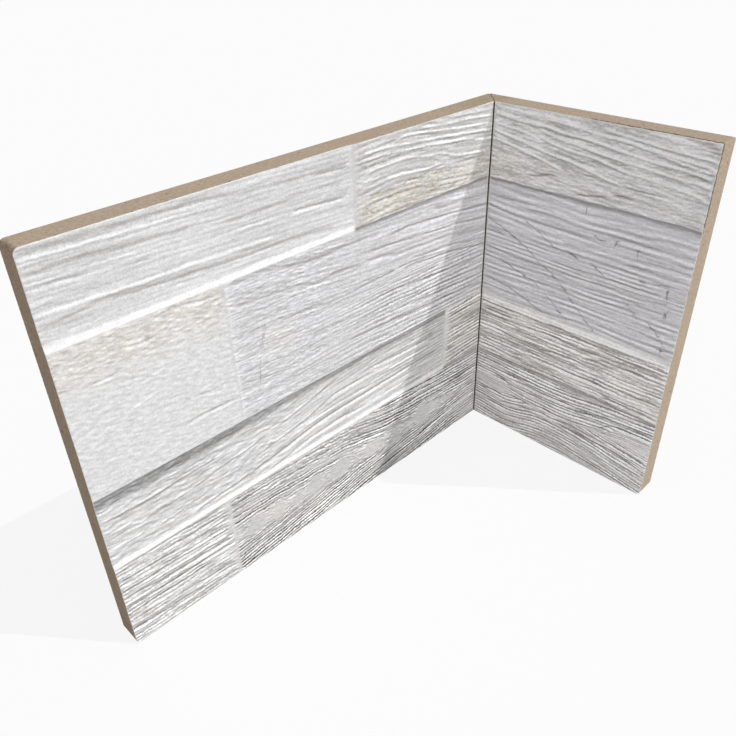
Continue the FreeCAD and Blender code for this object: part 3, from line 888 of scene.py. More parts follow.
def painted_shade_band(u, v, below):
    """Tone of the sweeping plank: a wide uneven band of painted shade along its top, under the
    higher row above, fading out below.
    """
    wide = through(u, ((0, 6.2), (60, 6.2), (95, 5.2), (135, 4.2), (219, 4.0)))
    tone = through(u, ((0, 0.94), (60, 0.93), (100, 0.99), (180, 0.98), (205, 0.97)))
    mottle = 0.88 + 0.32 * fractal(u / 2.4, v / 0.9, 365)
    fringe = 0.7 * fractal(u / 4, v / 1.4, 368, 2)
    # The band of painted shade, with a darker strip at its very top.
    tone = tone - 0.42 * mottle * ease((wide + 0.5 - below - fringe) / 2.8)
    return tone - 0.05 * blend_in(below, 1.6, 0.5) - 0.09 * blend_in(below, 11, 6)


def painted_light_along(plank, u, past):
    """Painted light along the plank, as a factor: the short wing paler or darker, and the knotty
    and checked planks paler towards the inner corner, where less light reaches.
    """
    # Painted light on the short wing.
    tone = 1 + SHORT_WING_LIGHT.get(plank.name, 0) * past
    # The knotty and checked planks are painted paler towards the inner corner, where less light
    # reaches.
    if plank.name == "knotty":
        tone = tone * (1 + 0.29 * blend_in(u, 160, 215))
    if plank.name == "checked":
        points = ((75, 0.95), (130, 0.975), (190, 1.0), (215, 1.03), (250, 1.02))
        tone = tone * through(u, points)
    return tone


def painted_light_bands(plank, u, v):
    """Painted shade under a higher row and painted light on a rising margin, as a factor."""
    tone = np.ones(u.shape)
    ragged = v + 0.35 * noise(u / 9, 1.5, 361) + 0.2 * noise(u / 2.5, 2.5, 362)
    below = ragged - plank.top
    over = plank.foot - ragged
    if plank.name == "sweeping":
        tone = painted_shade_band(u, v, below)
    # Painted highlight on the cove that rises to a dished plank's foot and faces up.
    if plank.kind == "dished":
        tone = tone + 0.05 * blend_in(over, 10, 4)
        tone = tone + (0.52 if plank.name == "soft" else 0.64) * blend_in(over, 3.5, 1.7)
    past = past_corner(u)
    # Painted shade along the foot of a proud plank, where its edge slopes back and faces down.
    if plank.kind == "proud" and plank.foot < HEIGHT:
        tone = tone - 0.56 * ease((1.5 - 0.5 * past - over) / 0.7)
    # Painted highlight on the straight plank's top edge, which rises and faces up, stronger past
    # the corner, with a thin darker line at its very top.
    if plank.name == "straight":
        tone = tone + 0.26 * blend_in(below, 4.6, 3.3) * blend_in(below, 1.0, 2.2)
        rim = np.exp(-(below - 2.5) ** 2)
        tone = tone + past * (0.22 * rim - 0.07 * blend_in(below, 1.2, 0.3))
    # Painted shade under the proud plank of the row above.
    if plank.name in ("checked", "knotty"):
        shaded = u > (BUTT_1 if plank.name == "checked" else BUTT_3)
        foot_shade = 0.28 * blend_in(below, 1.4, 0.3) + 0.12 * past * blend_in(below, 1.8, 0.6)
        tone = tone - shaded * (foot_shade + 0.13 * blend_in(below, 5, 0.8))
    tone = tone * painted_light_along(plank, u, past)
    # Painted light and shade against the butt groove's own: paler on the flank that faces away from
    # the key light and a little beyond, a little darker on the flank that faces it.
    for side in (BUTT_2, BUTT_4):
        if plank.left == side:
            tone = tone + 0.12 * blend_in(u - side, 1.4, 0.7) + 0.04 * blend_in(u - side, 7, 1)
        if plank.right == side:
            tone = tone - 0.05 * blend_in(side - u, 1.4, 0.4)
    return tone


def clear_of_butts(plank, u):
    """0 in the mesh cells that join two planks end to end, and 1 away from them."""
    clear = np.ones(u.shape)
    if plank.left > 0:
        clear = clear * blend_in(u - plank.left, 0.7, 1.6)
    if plank.right < FACE_END:
        clear = clear * blend_in(plank.right - u, 0.7, 1.6)
    return clear


# The most that the grain rises or falls, and the height over which it fades at the top and
# bottom edges, to that share of itself.
MOST_RISE = 0.85
OUTLINE_FADE = 1.8
OUTLINE_SHARE = 0.15
# How much the print is painted paler with each millimetre of rise and with the slope: painted light
# on crests and on slopes that face up, painted shade in hollows and on slopes that face down.
RISE_LIGHT_TONE = 0.80
SLOPE_LIGHT_TONE = 1.00
# The painted shade in hollows and on downward slopes is a little browner than the painted light on
# crests, and past the corner the print is painted a little less green, a painted tint of the short
# wing's shade.
TONE_TINT = (0.98, 1.01, 1.05)
SHORT_SHADE_TINT = (0.0, 0.009, -0.002)
# How far the grain wavers from side to side, and how much the finest lines are drawn out
# along it; planks that aren't named take the first value of each.
RAGGEDNESS = {"": 0.20, "straight": 0.12, "knotty": 0.10}
LINE_STRETCH = {"": 1.0, "straight": 1.8, "knotty": 2.2, "furrowed": 1.3}


def face_fields(u, v):
    """Over a grid of places on the face: depth, print colour with its painted light and shade, the
    fine lines' coordinate and strength, and the checks' distance and opening."""
    shape = u.shape
    depth, rise, dark = np.zeros(shape), np.zeros(shape), np.zeros(shape)
    flow = np.zeros(shape + (3,))
    check = np.zeros(shape + (3,))
    colour = np.zeros(shape + (3,))
    for plank in PLANKS:
        inside = (u >= plank.left) & (u <= plank.right) & (v >= plank.top) & (v <= plank.foot)
        here_u, here_v = u[inside], v[inside]
        ragged = RAGGEDNESS.get(plank.name, RAGGEDNESS[""])
        ragged = ragged * fractal(here_u / 2.4, here_v / 1.1, 391, 2)
        stretch = LINE_STRETCH.get(plank.name, LINE_STRETCH[""])
        made = GRAINS[plank.name](here_u, here_v + ragged)
        keep = margins(plank, here_u, here_v)
        past = past_corner(here_u, 5.0, 5.0)
        bold = 1 + (SHORT_BOLDNESS.get(plank.name, 1) - 1) * past
        depth[inside] = plank_depth(plank, here_u, here_v)
        inside_edge = blend_in(np.minimum(here_v, HEIGHT - here_v), 0, OUTLINE_FADE)
        whole = OUTLINE_SHARE + (1 - OUTLINE_SHARE) * inside_edge
        pressed = made.rise * keep * whole * BOLDNESS[plank.name] * bold
        rise[inside] = MOST_RISE * np.tanh(pressed / MOST_RISE)
        dark[inside] = made.dark * keep
        across = made.across / made.pitch
        lines = made.lines * keep * clear_of_butts(plank, here_u)
        flow[inside] = np.stack([here_u / stretch, across, lines], axis=-1)
        check[inside] = np.stack([made.checks[0], made.checks[1] * keep, 0 * keep], axis=-1)
        painted = np.tile(np.array(PRINT[plank.name]), (len(here_u), 1))
        for stain, strength in made.stains:
            share = (np.clip(strength, 0, 1) * keep)[:, None]
            painted = painted * (1 - share) + np.array(stain) * share
        # Past the corner the print is painted a little less green, a painted tint of the short
        # wing's shade.
        painted = painted * (1 - past[:, None] * np.array(SHORT_SHADE_TINT))
        colour[inside] = painted * painted_light_bands(plank, here_u, here_v)[:, None]
    # Painted light and shade of the relief: paler on crests and on slopes that face up, darker in
    # hollows and on slopes that face down.
    slope = np.gradient(rise, axis=0) / np.gradient(v, axis=0)
    tone = 1 + RISE_LIGHT_TONE * np.clip(rise, -0.3, 0.3) + SLOPE_LIGHT_TONE * np.clip(slope, -0.5, 0.5)
    share = np.clip(dark, 0, 1)[..., None]
    # Where the painted shading is darker it is a little browner, where it is paler a little bluer.
    colour = colour * tone[..., None] ** np.array(TONE_TINT) * (1 - share) + np.array(UMBER) * share
    return depth - rise, np.clip(colour, 0.02, 0.95), flow, check


# Making a wing: s runs from the inner corner to the free end.

def deselect_all():
    """Leaves nothing selected, so that an operator acts only on what is picked after it."""
    bpy.ops.object.select_all(action="DESELECT")


def flat_slab(name, face_length, columns, rows):
    """A closed flat slab, s along X, depth along Y and height along Z, with a fine front."""
    deselect_all()
    bpy.ops.mesh.primitive_grid_add(x_subdivisions=columns, y_subdivisions=rows, size=1,
                                    location=(face_length / 2, 0, HEIGHT / 2),
                                    rotation=(math.pi / 2, 0, 0))
    slab = bpy.context.object
    slab.name = name
    slab.data.name = name
    slab.scale = (face_length, HEIGHT, 1)
    bpy.ops.object.transform_apply(location=True, rotation=True, scale=True)
    bpy.ops.object.mode_set(mode="EDIT")
    bpy.ops.mesh.select_mode(type="EDGE")
    bpy.ops.mesh.select_all(action="SELECT")
    bpy.ops.mesh.region_to_loop()
    reached = 0.0
    for loop in EDGE_LOOPS:
        bpy.ops.mesh.extrude_edges_move(TRANSFORM_OT_translate={"value": (0, loop - reached, 0)})
        reached = loop
    bpy.ops.mesh.edge_face_add()
    bpy.ops.mesh.select_all(action="SELECT")
    bpy.ops.mesh.normals_make_consistent(inside=False)
    bpy.ops.object.mode_set(mode="OBJECT")
    return slab


def key_lines():
    """Heights of the keying grooves' edges, as (height, depth of that edge)."""
    pairs = int((HEIGHT / 2 - KEY_EDGE_LAND - KEY_MOUTH / 2) / KEY_PITCH + 0.5)
    lines = []
    for number in range(-pairs, pairs):
        centre = HEIGHT / 2 + (number + 0.5) * KEY_PITCH
        for offset, depth in ((-KEY_MOUTH / 2, 0), (-KEY_FLOOR / 2, KEY_DEPTH),
                              (KEY_FLOOR / 2, KEY_DEPTH), (KEY_MOUTH / 2, 0)):
            lines.append((centre + offset, depth))
    return lines


def score_back(mesh):
    """Divides the back along the edges of its keying grooves."""
    cut = bmesh.new()
    cut.from_mesh(mesh)
    cut.faces.ensure_lookup_table()
    # The back is the only face with more than four corners.
    back = [face for face in cut.faces if len(face.verts) > 4]
    for height, _ in key_lines():
        edges = {edge for face in back for edge in face.edges}
        verts = {vert for face in back for vert in face.verts}
        made = bmesh.ops.bisect_plane(cut, geom=back + list(edges) + list(verts), dist=1e-5,
                                      plane_co=(0, 0, height), plane_no=(0, 0, 1))
        back = [item for item in made["geom"] if isinstance(item, bmesh.types.BMFace)]
    cut.to_mesh(mesh)
    cut.free()


def column_places(face_length, columns):
    """Distances from the inner corner of the mesh's columns, closer round a worn corner."""
    straight = np.linspace(0, face_length - WORN_CORNER, columns + 1 - CORNER_STEPS)
    turns = np.linspace(0, math.pi / 2, CORNER_STEPS + 1)[1:]
    return np.concatenate([straight, face_length - WORN_CORNER * (1 - np.sin(turns))])


def worn(s, face_length, radius):
    """How far a worn corner takes the outline in from the edge."""
    into = np.clip(s - (face_length - radius), 0, radius)
    return radius - np.sqrt(radius ** 2 - into ** 2)


def squeeze(z, low, high):
    """Heights moved in from the bottom and top edges, within reach of the corners only."""
    near_foot = z < CORNER_REACH
    near_head = z > HEIGHT - CORNER_REACH
    foot = low + z * (CORNER_REACH - low) / CORNER_REACH
    head = HEIGHT - high - (HEIGHT - z) * (CORNER_REACH - high) / CORNER_REACH
    return np.where(near_foot, foot, np.where(near_head, head, z))


def glaze_bites(s, z, inward):
    """How far the edge of the glaze is broken back: by the arris, and here and there a chip."""
    chipped = np.clip(fractal(s / CHIP_LENGTH, z / CHIP_LENGTH, 401, 2) - 0.42, 0, 1)
    edge_bite = ARRIS + CHIP_BITE * chipped
    front = inward < LOOP_SLACK
    glaze_line = (inward > LOOP_SLACK) & (inward < GLAZE_THICKNESS + LOOP_SLACK)
    return np.where(front, edge_bite, np.where(glaze_line, edge_bite - ARRIS, 0))


def store(mesh, name, kind, field, values):
    """An attribute that the materials read, with a value at every vertex."""
    layer = mesh.attributes.new(name, kind, "POINT")
    layer.data.foreach_set(field, values.astype(np.float32).ravel())


def build_wing(name, face_length, top_radius, turn, place):
    """A wing with its relief, worn corners and grooves; turn maps s to u and place puts
    (s, depth, height) into the frame."""
    columns = int(face_length / CELL_LENGTH) + CORNER_STEPS
    rows = int(HEIGHT / CELL_HEIGHT)
    wing = flat_slab(name, face_length, columns, rows)
    mesh = wing.data
    score_back(mesh)
    flat = np.empty(len(mesh.vertices) * 3)
    mesh.vertices.foreach_get("co", flat)
    flat_s, inward, flat_z = flat.reshape(-1, 3).T
    column = np.rint(flat_s / face_length * columns).astype(int)
    row = np.rint(flat_z / HEIGHT * rows).astype(int)

    columns_at = column_places(face_length, columns)
    s_grid, z_grid = np.meshgrid(columns_at, np.linspace(0, HEIGHT, rows + 1))
    z_grid = squeeze(z_grid, worn(s_grid, face_length, WORN_CORNER),
                     worn(s_grid, face_length, top_radius))
    depth_grid, colour_grid, flow_grid, check_grid = face_fields(turn(s_grid), HEIGHT - z_grid)

    s = columns_at[column]
    z = squeeze(flat_z, worn(s, face_length, WORN_CORNER), worn(s, face_length, top_radius))
    depth = inward + depth_grid[row, column] * (1 - inward / THICKNESS)
    at_back = inward > THICKNESS - LOOP_SLACK
    for height, key_depth in key_lines():
        depth[at_back & (np.abs(flat_z - height) < 1e-3)] -= key_depth

    front = inward < LOOP_SLACK
    bite = glaze_bites(s, z, inward)
    mitre = column == 0
    free_end = column == columns
    foot_edge = row == 0
    head_edge = row == rows
    in_corner = s > face_length - WORN_CORNER
    s = s - bite * (free_end | (in_corner & (foot_edge | head_edge)))
    z = z + bite * foot_edge - bite * head_edge
    s = np.where(mitre, HALF_GAP - depth + MITRE_ARRIS * np.where(front, ARRIS, 0), s)
    shaped = place(s, depth, z) * MM
    mesh.vertices.foreach_set("co", shaped.astype(np.float32).ravel())

    # The ground edge of the glaze is paler than its face.
    colour = np.ones((len(inward), 4))
    colour[:, :3] = colour_grid[row, column]
    colour[front & (free_end | foot_edge | head_edge | mitre), :3] = GLAZE_CUT
    store(mesh, "tint", "FLOAT_COLOR", "color", colour)
    store(mesh, "flow", "FLOAT_VECTOR", "vector", flow_grid[row, column])
    store(mesh, "check", "FLOAT_VECTOR", "vector", check_grid[row, column])
    store(mesh, "inward", "FLOAT", "value", inward)
    finish_wing(wing, inward)


def finish_wing(wing, inward):
    """Materials by depth, smooth shading, outward normals and body."""
    mesh = wing.data
    for material in (GLAZE, GLAZE_EDGE, CLAY):
        mesh.materials.append(material)
    loop_vertex = np.empty(len(mesh.loops), int)
    mesh.loops.foreach_get("vertex_index", loop_vertex)
    starts = np.empty(len(mesh.polygons), int)
    mesh.polygons.foreach_get("loop_start", starts)
    deepest = np.maximum.reduceat(inward[loop_vertex], starts)
    ends = (ARRIS + LOOP_SLACK, GLAZE_THICKNESS + LOOP_SLACK)
    mesh.polygons.foreach_set("material_index", np.digitize(deepest, ends).astype(np.int32))
    mesh.update()
    deselect_all()
    wing.select_set(True)
    bpy.context.view_layer.objects.active = wing
    bpy.ops.object.mode_set(mode="EDIT")
    bpy.ops.mesh.select_all(action="SELECT")
    bpy.ops.mesh.normals_make_consistent(inside=False)
    bpy.ops.object.mode_set(mode="OBJECT")
    bpy.ops.object.shade_smooth_by_angle(angle=math.radians(SMOOTH_ANGLE))
    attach(wing, "root")
    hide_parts(wing.name.replace("_relief", ""))


# Materials.

class Value:
    """A node socket that can be used in sums; constants may stand on either side."""

    def __init__(self, tree, socket):
        self.tree = tree
        self.socket = socket

    def combined(self, operation, first, second=None):
        """A Math node on two values or numbers."""
        node = self.tree.nodes.new("ShaderNodeMath")
        node.operation = operation
        for slot, item in zip(node.inputs, (first, second)):
            if isinstance(item, Value):
                self.tree.links.new(item.socket, slot)
            elif item is not None:
                slot.default_value = item
        return Value(self.tree, node.outputs[0])

    def __add__(self, other):
        return self.combined("ADD", self, other)

    def __radd__(self, other):
        return self.combined("ADD", other, self)

    def __sub__(self, other):
        return self.combined("SUBTRACT", self, other)

    def __rsub__(self, other):
        return self.combined("SUBTRACT", other, self)

    def __mul__(self, other):
        return self.combined("MULTIPLY", self, other)

    def __rmul__(self, other):
        return self.combined("MULTIPLY", other, self)

    def __truediv__(self, other):
        return self.combined("DIVIDE", self, other)

    def floor(self):
        return self.combined("FLOOR", self)

    def hump(self):
        """1 where the value is 0, falling off like a bell on both sides."""
        return self.combined("POWER", math.e, -1.0 * self * self)


class Nodes:
    """A node tree that is filled with nodes by type, settings and inputs."""

    def __init__(self, tree):
        self.tree = tree

    def node(self, kind, settings=None, output=0, **inputs):
        """A node of that kind with its settings and inputs, as one of its outputs. An input
        goes by its name, or by i and its number."""
        node = self.tree.nodes.new(kind)
        for key, value in (settings or {}).items():
            setattr(node, key, value)
        for key, value in inputs.items():
            slot = int(key[1:]) if key[1:].isdigit() else key.replace("_", " ")
            self.feed(node.inputs[slot], value)
        return Value(self.tree, node.outputs[output])

    def feed(self, slot, value):
        """Links a value to an input, or sets the input to a constant."""
        if isinstance(value, Value):
            self.tree.links.new(value.socket, slot)
        else:
            slot.default_value = value

    def attribute(self, name, output):
        """What the mesh stores under that name, as a Color, Vector or Fac."""
        return self.node("ShaderNodeAttribute", {"attribute_name": name}, output)

    def place(self):
        """Object coordinates, in metres."""
        return self.node("ShaderNodeTexCoord", output="Object")

    def parts(self, vector):
        """The three numbers of a vector."""
        first = self.node("ShaderNodeSeparateXYZ", Vector=vector)
        outputs = first.socket.node.outputs
        return [Value(self.tree, outputs[axis]) for axis in range(3)]

    def vector(self, x, y, z):
        """A vector of three numbers."""
        return self.node("ShaderNodeCombineXYZ", X=x, Y=y, Z=z)

    def noise(self, vector, scale, detail, roughness):
        """Noise from 0 to 1, with that many lumps to the unit of the vector."""
        return self.node("ShaderNodeTexNoise", Vector=vector, Scale=scale, Detail=detail,
                         Roughness=roughness)

    def stepped(self, value, start, stop):
        """0 before start, 1 after stop."""
        settings = {"interpolation_type": "SMOOTHSTEP"}
        return self.node("ShaderNodeMapRange", settings, Value=value, From_Min=start,
                         From_Max=stop)

    def mixed(self, share, first, second, how="MIX"):
        """The first colour, with that share of the second mixed in."""
        settings = {"data_type": "RGBA", "blend_type": how}
        return self.node("ShaderNodeMix", settings, 2, i0=share, i6=first, i7=second)

    def shaded(self, colour, factor):
        """A colour made paler or darker by a factor."""
        grey = self.node("ShaderNodeCombineColor", Red=factor, Green=factor, Blue=factor)
        return self.mixed(1.0, colour, grey, "MULTIPLY")

    def bump(self, height):
        """A normal bent by a height in metres."""
        return self.node("ShaderNodeBump", Height=height, Distance=1.0, Strength=1.0)


class Finish(Nodes):
    """A material that ends in a Principled shader."""

    def __init__(self, name):
        self.material = bpy.data.materials.new(name)
        self.material.use_nodes = True
        super().__init__(self.material.node_tree)
        self.shader = self.tree.nodes["Principled BSDF"]

    def surface(self, **inputs):
        """The material, once the shader's inputs are fed."""
        for key, value in inputs.items():
            self.feed(self.shader.inputs[key.replace("_", " ")], value)
        return self.material


def rgba(colour):
    """The colour as an opaque one."""
    return (*colour, 1.0)


# Fine lines of the print: width in parts of their pitch, depth in millimetres, painted light and
# shade of their sides, and ink in their middle.
LINE_WIDTH = 0.26
LINE_DEPTH = 0.14
LINE_SHADE = 0.74
LINE_INK = 0.60

# Drying checks: width and depth in millimetres, strength of the ink and its colour.
CHECK_WIDTH = 0.28
CHECK_DEPTH = 0.16
CHECK_INK = 0.86
CHECK_COLOUR = (0.09, 0.08, 0.07)

# The glaze's own body at the cut edge, and the clay in the shade of a chip.
GLAZE_BODY = (0.80, 0.77, 0.71)
CHIP_COLOUR = (0.16, 0.12, 0.09)
# The short wing's free top corner is chipped most: between these places, in metres.
CHIPPED_Y = (0.004, -0.012)
CHIPPED_Z = (0.155, 0.165)

# Bare clay: its two cloud colours, the grains of sand, the specks and the pits, painted near black
# as the shade in them, and what the painted shade of the long wing's free end and a smudge of
# adhesive multiply it by.
CLAY_DARK = (0.36, 0.275, 0.195)
CLAY_PALE = (0.46, 0.365, 0.27)
CLAY_GRAIN = (0.56, 0.46, 0.35)
CLAY_SPECK = (0.17, 0.12, 0.08)
CLAY_PIT = (0.06, 0.045, 0.035)
END_SHADE_CLAY = (0.62, 0.58, 0.53)
SMUDGED_CLAY = (0.80, 0.80, 0.64)
# The long wing's free end is painted darker and browner than the other cuts, a painted shade on
# that end, and nicked in one stretch of its height. The clay is smudged towards the outer corner.
# Places are in metres.
SHADED_END_X = ((CORNER_X - LONG_FACE + 2.6) * MM, (CORNER_X - LONG_FACE + 0.4) * MM)
NICKED_FOOT = (0.084, 0.092)
NICKED_HEAD = (0.126, 0.116)
SMUDGED_X = (0.075, 0.128)
SMUDGED_Y = (0.045, 0.055)

# Cured adhesive, from dark to pale, and the clay dust on its ground ends.
ADHESIVE_DARK = (0.020, 0.018, 0.016)
ADHESIVE_PALE = (0.07, 0.062, 0.054)
CLAY_DUST = (0.40, 0.315, 0.225)
# The dust is whole at the first distance from a ground end and gone at the second; this
# far from the outer corner it starts to wear off.
DUST_WHOLE = 0.4
DUST_GONE = 0.6
DUST_WORN = 2.6


def glaze_finish():
    """Matt printed glaze: lines that follow the grain, hair-fine fibre, checks and sand."""
    make = Finish("printed_glaze")
    tint = make.attribute("tint", "Color")
    along, across, amount = make.parts(make.attribute("flow", "Vector"))
    beside, opened, _ = make.parts(make.attribute("check", "Vector"))
    place = make.place()

    # Between two whole numbers across the grain lies one line, with a strength of its own.
    sway = make.noise(make.vector(along * 0.035, across * 0.45, 0.0), 1.0, 2.0, 0.5) - 0.5
    ragged = make.noise(place, 700.0, 2.0, 0.5) - 0.5
    swayed = across + 1.1 * sway + 0.6 * ragged
    line = swayed.floor()
    offset = (swayed - line - 0.5) / LINE_WIDTH
    own = make.noise(make.vector(along * 0.060, line * 3.7, 0.0), 1.0, 1.0, 0.5)
    strength = amount * make.stepped(own, 0.30, 0.54)
    shape = offset.hump() * strength

    hair = make.noise(make.vector(along * 0.19, across * 2.2, 0.0), 1.0, 3.0, 0.6)
    sand = make.noise(place, 1300.0, 2.0, 0.6)
    mottle = make.noise(place, 420.0, 3.0, 0.6)
    crack = (beside / CHECK_WIDTH).hump() * opened

    # A line is dark in its middle; its upper side is painted in shade, its lower one in painted
    # light.
    inked = LINE_INK * shape * (1.0 - 1.1 * offset * offset)
    fibre = 0.46 * (hair - 0.5) * (0.5 + 0.5 * amount)
    grit = (0.46 + 0.55 * amount) * (sand - 0.5) + (0.26 + 0.20 * amount) * (mottle - 0.5)
    shade = 0.99 + fibre + grit
    shade = shade * (1.0 + LINE_SHADE * 2.0 * offset * shape - inked)
    colour = make.shaded(tint, shade)
    colour = make.mixed(CHECK_INK * crack, colour, rgba(CHECK_COLOUR))
    height = 0.00014 * hair + 0.00012 * sand + 0.00014 * mottle
    height = height - MM * (LINE_DEPTH * shape + CHECK_DEPTH * crack)
    rough = 0.44 + 0.16 * hair
    return make.surface(Base_Color=colour, Roughness=rough, Normal=make.bump(height),
                        Specular_IOR_Level=0.30)


def most_chipped(make, place):
    """1 by the short wing's free top corner, where the glaze is most chipped."""
    x, y, z = make.parts(place)
    on_short = make.stepped(x, (CORNER_X - 1.0) * MM, CORNER_X * MM)
    return on_short * make.stepped(y, *CHIPPED_Y) * make.stepped(z, *CHIPPED_Z)


def glaze_edge_finish():
    """The glaze's own thickness where the edge is cut: pale, with chips down to the clay."""
    make = Finish("glaze_edge")
    place = make.place()
    chipped = make.noise(place, 420.0, 3.0, 0.6) + 0.12 * most_chipped(make, place)
    chips = make.stepped(chipped, 0.60, 0.66)
    colour = make.mixed(chips, rgba(GLAZE_BODY), rgba(CHIP_COLOUR))
    height = -0.0001 * chips
    return make.surface(Base_Color=colour, Roughness=0.5, Normal=make.bump(height))


def clay_finish():
    """Bare fired clay: sandy, with dark specks and pits that lie thickest by the glaze, the pits
    painted near black as their shade, and painted shade on the long wing's free end.
    """
    make = Finish("bare_clay")
    place = make.place()
    inward = make.attribute("inward", "Fac")
    x, y, z = make.parts(place)
    cloud = make.noise(place, 90.0, 4.0, 0.6)
    sand = make.noise(place, 1500.0, 2.0, 0.6)
    grit = make.noise(place, 620.0, 3.0, 0.6)
    specks = make.stepped(make.noise(place, 520.0, 2.0, 0.5), 0.66, 0.74)
    near_glaze = make.stepped(inward, 1.7, 0.5)
    shaded_end = make.stepped(x, *SHADED_END_X)
    nicked = make.stepped(z, *NICKED_FOOT) * make.stepped(z, *NICKED_HEAD)
    thick = near_glaze * (0.085 + 0.03 * shaded_end + 0.10 * nicked * shaded_end)
    thick = thick + make.stepped(inward, 2.1, 1.5) * 0.28 * most_chipped(make, place)
    pits = make.stepped(make.noise(place, 330.0, 3.0, 0.65) + thick, 0.67, 0.72)
    colour = make.mixed(cloud, rgba(CLAY_DARK), rgba(CLAY_PALE))
    colour = make.mixed(0.55 * sand, colour, rgba(CLAY_GRAIN))
    colour = make.shaded(colour, 1.0 + 0.8 * (grit - 0.5) + 0.6 * (sand - 0.5))
    # Painted shade on the long wing's free end.
    colour = make.mixed(shaded_end, colour, rgba(END_SHADE_CLAY), "MULTIPLY")
    smudged = make.stepped(x, *SMUDGED_X) * make.stepped(y, *SMUDGED_Y)
    smudged = smudged * make.stepped(make.noise(place, 160.0, 3.0, 0.6), 0.30, 0.62)
    colour = make.mixed(0.8 * smudged, colour, rgba(SMUDGED_CLAY), "MULTIPLY")
    colour = make.mixed(0.55 * specks, colour, rgba(CLAY_SPECK))
    # The pits are painted near black, a painted shade in their hollows.
    colour = make.mixed(0.85 * pits, colour, rgba(CLAY_PIT))
    height = 0.00010 * sand + 0.00014 * grit - 0.00035 * pits
    return make.surface(Base_Color=colour, Roughness=0.85, Normal=make.bump(height),
                        Specular_IOR_Level=0.25)


def adhesive_finish():
    """Cured dark adhesive, slightly uneven; at the ground top and bottom edges clay dust
    covers it, but for a dark spot at the outer corner."""
    make = Finish("cured_adhesive")
    place = make.place()
    x, _, z = make.parts(place)
    lumps = make.noise(place, 700.0, 4.0, 0.6)
    dust = make.stepped(z, (HEIGHT - DUST_GONE) * MM, (HEIGHT - DUST_WHOLE) * MM)
    dust = dust + make.stepped(z, DUST_GONE * MM, DUST_WHOLE * MM)
    bare = CORNER_X + THICKNESS - DUST_WORN
    dust = dust * (1.0 - 0.7 * make.stepped(x, bare * MM, (bare + 1.0) * MM))
    colour = make.mixed(lumps, rgba(ADHESIVE_DARK), rgba(ADHESIVE_PALE))
    colour = make.mixed(dust, colour, rgba(CLAY_DUST))
    return make.surface(Base_Color=colour, Roughness=0.6, Normal=make.bump(0.0003 * lumps))


GLAZE = glaze_finish()
GLAZE_EDGE = glaze_edge_finish()
CLAY = clay_finish()
ADHESIVE = adhesive_finish()


# The pieces.

def long_place(s, depth, z):
    """Where the long wing's points lie in the frame."""
    return np.stack([CORNER_X - s, CORNER_Y + depth, z], axis=-1)


def short_place(s, depth, z):
    """Where the short wing's points lie in the frame."""
    return np.stack([CORNER_X + depth, CORNER_Y - s, z], axis=-1)


build_wing("long_wing_relief", LONG_FACE, WORN_CORNER, lambda s: LONG_FACE - s, long_place)
build_wing("short_wing_relief", SHORT_FACE, CRISP_CORNER, lambda s: LONG_FACE + s, short_place)

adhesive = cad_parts["mitre_adhesive"]
adhesive.data.materials.clear()
adhesive.data.materials.append(ADHESIVE)


# The studio.

# The floor's width in metres, its colour, and the share of plain white that the camera sees
# in its place; the rest shows the object's shadow.
FLOOR_SIZE = 6.0
FLOOR_COLOUR = (0.80, 0.80, 0.80)
BACKDROP_SHARE = 0.87

# The camera at the photograph's viewing angle: angles in degrees, lengths in metres.
VIEW_TARGET = Vector((0.0023, 0.0320, 0.0999))
VIEW_AZIMUTH = -43.85
VIEW_ELEVATION = 33.24
VIEW_ROLL = -1.78
VIEW_DISTANCE = 0.350
# Lens and sensor in millimetres.
FOCAL_LENGTH = 35.35
SENSOR_WIDTH = 36.0

# The key light comes from above and to the right; its shadow's edge falls on the long wing.
KEY_TRAVEL = Vector((-0.46, 0.56, -1.0))
KEY_STRENGTH = 1.84
KEY_ANGLE = 0.1
# The fill light is wide and low, so that its shadows are soft.
FILL_TRAVEL = Vector((0.572, 0.818, -0.15))
FILL_STRENGTH = 1.24
FILL_ANGLE = 60.0
# The sky's strength overhead and at the horizon, and its colour.
SKY_HIGH = 0.46
SKY_LOW = 0.29
SKY_COLOUR = (0.985, 0.985, 1.0)
WHITE = (1.0, 1.0, 1.0)


def floor_finish():
    """White to the camera but for the object's shadow, plain pale grey to everything else."""
    make = Finish("studio_floor")
    make.surface(Base_Color=rgba(FLOOR_COLOUR), Roughness=0.9, Specular_IOR_Level=0.1)
    white = make.node("ShaderNodeEmission", Color=rgba(WHITE), Strength=1.0)
    seen = make.node("ShaderNodeLightPath", output="Is Camera Ray")
    shader = Value(make.tree, make.shader.outputs[0])
    both = make.node("ShaderNodeMixShader", i0=BACKDROP_SHARE * seen, i1=shader, i2=white)
    make.feed(make.tree.nodes["Material Output"].inputs["Surface"], both)
    return make.material


def lay_floor():
    """A wide plain floor under the piece."""
    deselect_all()
    bpy.ops.mesh.primitive_plane_add(size=FLOOR_SIZE, location=(0, 0, 0))
    floor = bpy.context.object
    floor.name = "studio_floor"
    floor.data.materials.append(floor_finish())


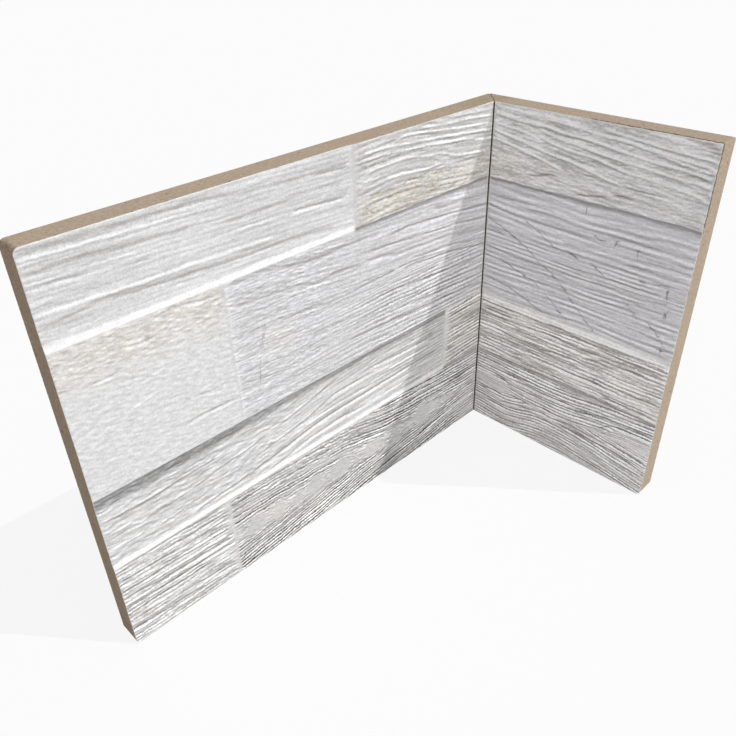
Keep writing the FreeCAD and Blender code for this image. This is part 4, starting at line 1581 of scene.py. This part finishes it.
def light_sky():
    """A soft sky, brightest overhead, that the camera sees as white."""
    world = bpy.data.worlds.new("studio_sky")
    bpy.context.scene.world = world
    world.use_nodes = True
    make = Nodes(world.node_tree)
    _, _, height = make.parts(make.node("ShaderNodeTexCoord", output="Generated"))
    strength = make.node("ShaderNodeMapRange", Value=height, To_Min=SKY_LOW, To_Max=SKY_HIGH)
    soft = make.node("ShaderNodeBackground", Color=rgba(SKY_COLOUR), Strength=strength)
    white = make.node("ShaderNodeBackground", Color=rgba(WHITE), Strength=1.0)
    seen = make.node("ShaderNodeLightPath", output="Is Camera Ray")
    both = make.node("ShaderNodeMixShader", i0=seen, i1=soft, i2=white)
    make.feed(make.tree.nodes["World Output"].inputs["Surface"], both)


def hang_lamp(name, travel, strength, angle):
    """A distant lamp whose light travels that way and spreads by that angle, in degrees."""
    lamp = bpy.data.lights.new(name, "SUN")
    lamp.energy = strength
    lamp.angle = math.radians(angle)
    hung = bpy.data.objects.new(name, lamp)
    hung.rotation_euler = travel.to_track_quat("-Z", "Y").to_euler()
    bpy.context.scene.collection.objects.link(hung)


def place_camera():
    """The camera, turned about its target by azimuth, elevation and roll."""
    azimuth = math.radians(VIEW_AZIMUTH)
    elevation = math.radians(VIEW_ELEVATION)
    roll = math.radians(VIEW_ROLL)
    forward = Vector((-math.sin(azimuth) * math.cos(elevation),
                      math.cos(azimuth) * math.cos(elevation), -math.sin(elevation)))
    level = Vector((math.cos(azimuth), math.sin(azimuth), 0))
    upward = level.cross(forward)
    right = math.cos(roll) * level + math.sin(roll) * upward
    top = -math.sin(roll) * level + math.cos(roll) * upward
    data = bpy.data.cameras.new("camera")
    data.lens = FOCAL_LENGTH
    data.sensor_width = SENSOR_WIDTH
    camera = bpy.data.objects.new("camera", data)
    bpy.context.scene.collection.objects.link(camera)
    turn = Matrix((right, top, -forward)).transposed().to_4x4()
    camera.matrix_world = Matrix.Translation(VIEW_TARGET - VIEW_DISTANCE * forward) @ turn
    bpy.context.scene.camera = camera


lay_floor()
light_sky()
hang_lamp("key", KEY_TRAVEL, KEY_STRENGTH, KEY_ANGLE)
hang_lamp("fill", FILL_TRAVEL, FILL_STRENGTH, FILL_ANGLE)
place_camera()
bpy.context.scene.view_settings.view_transform = "Standard"
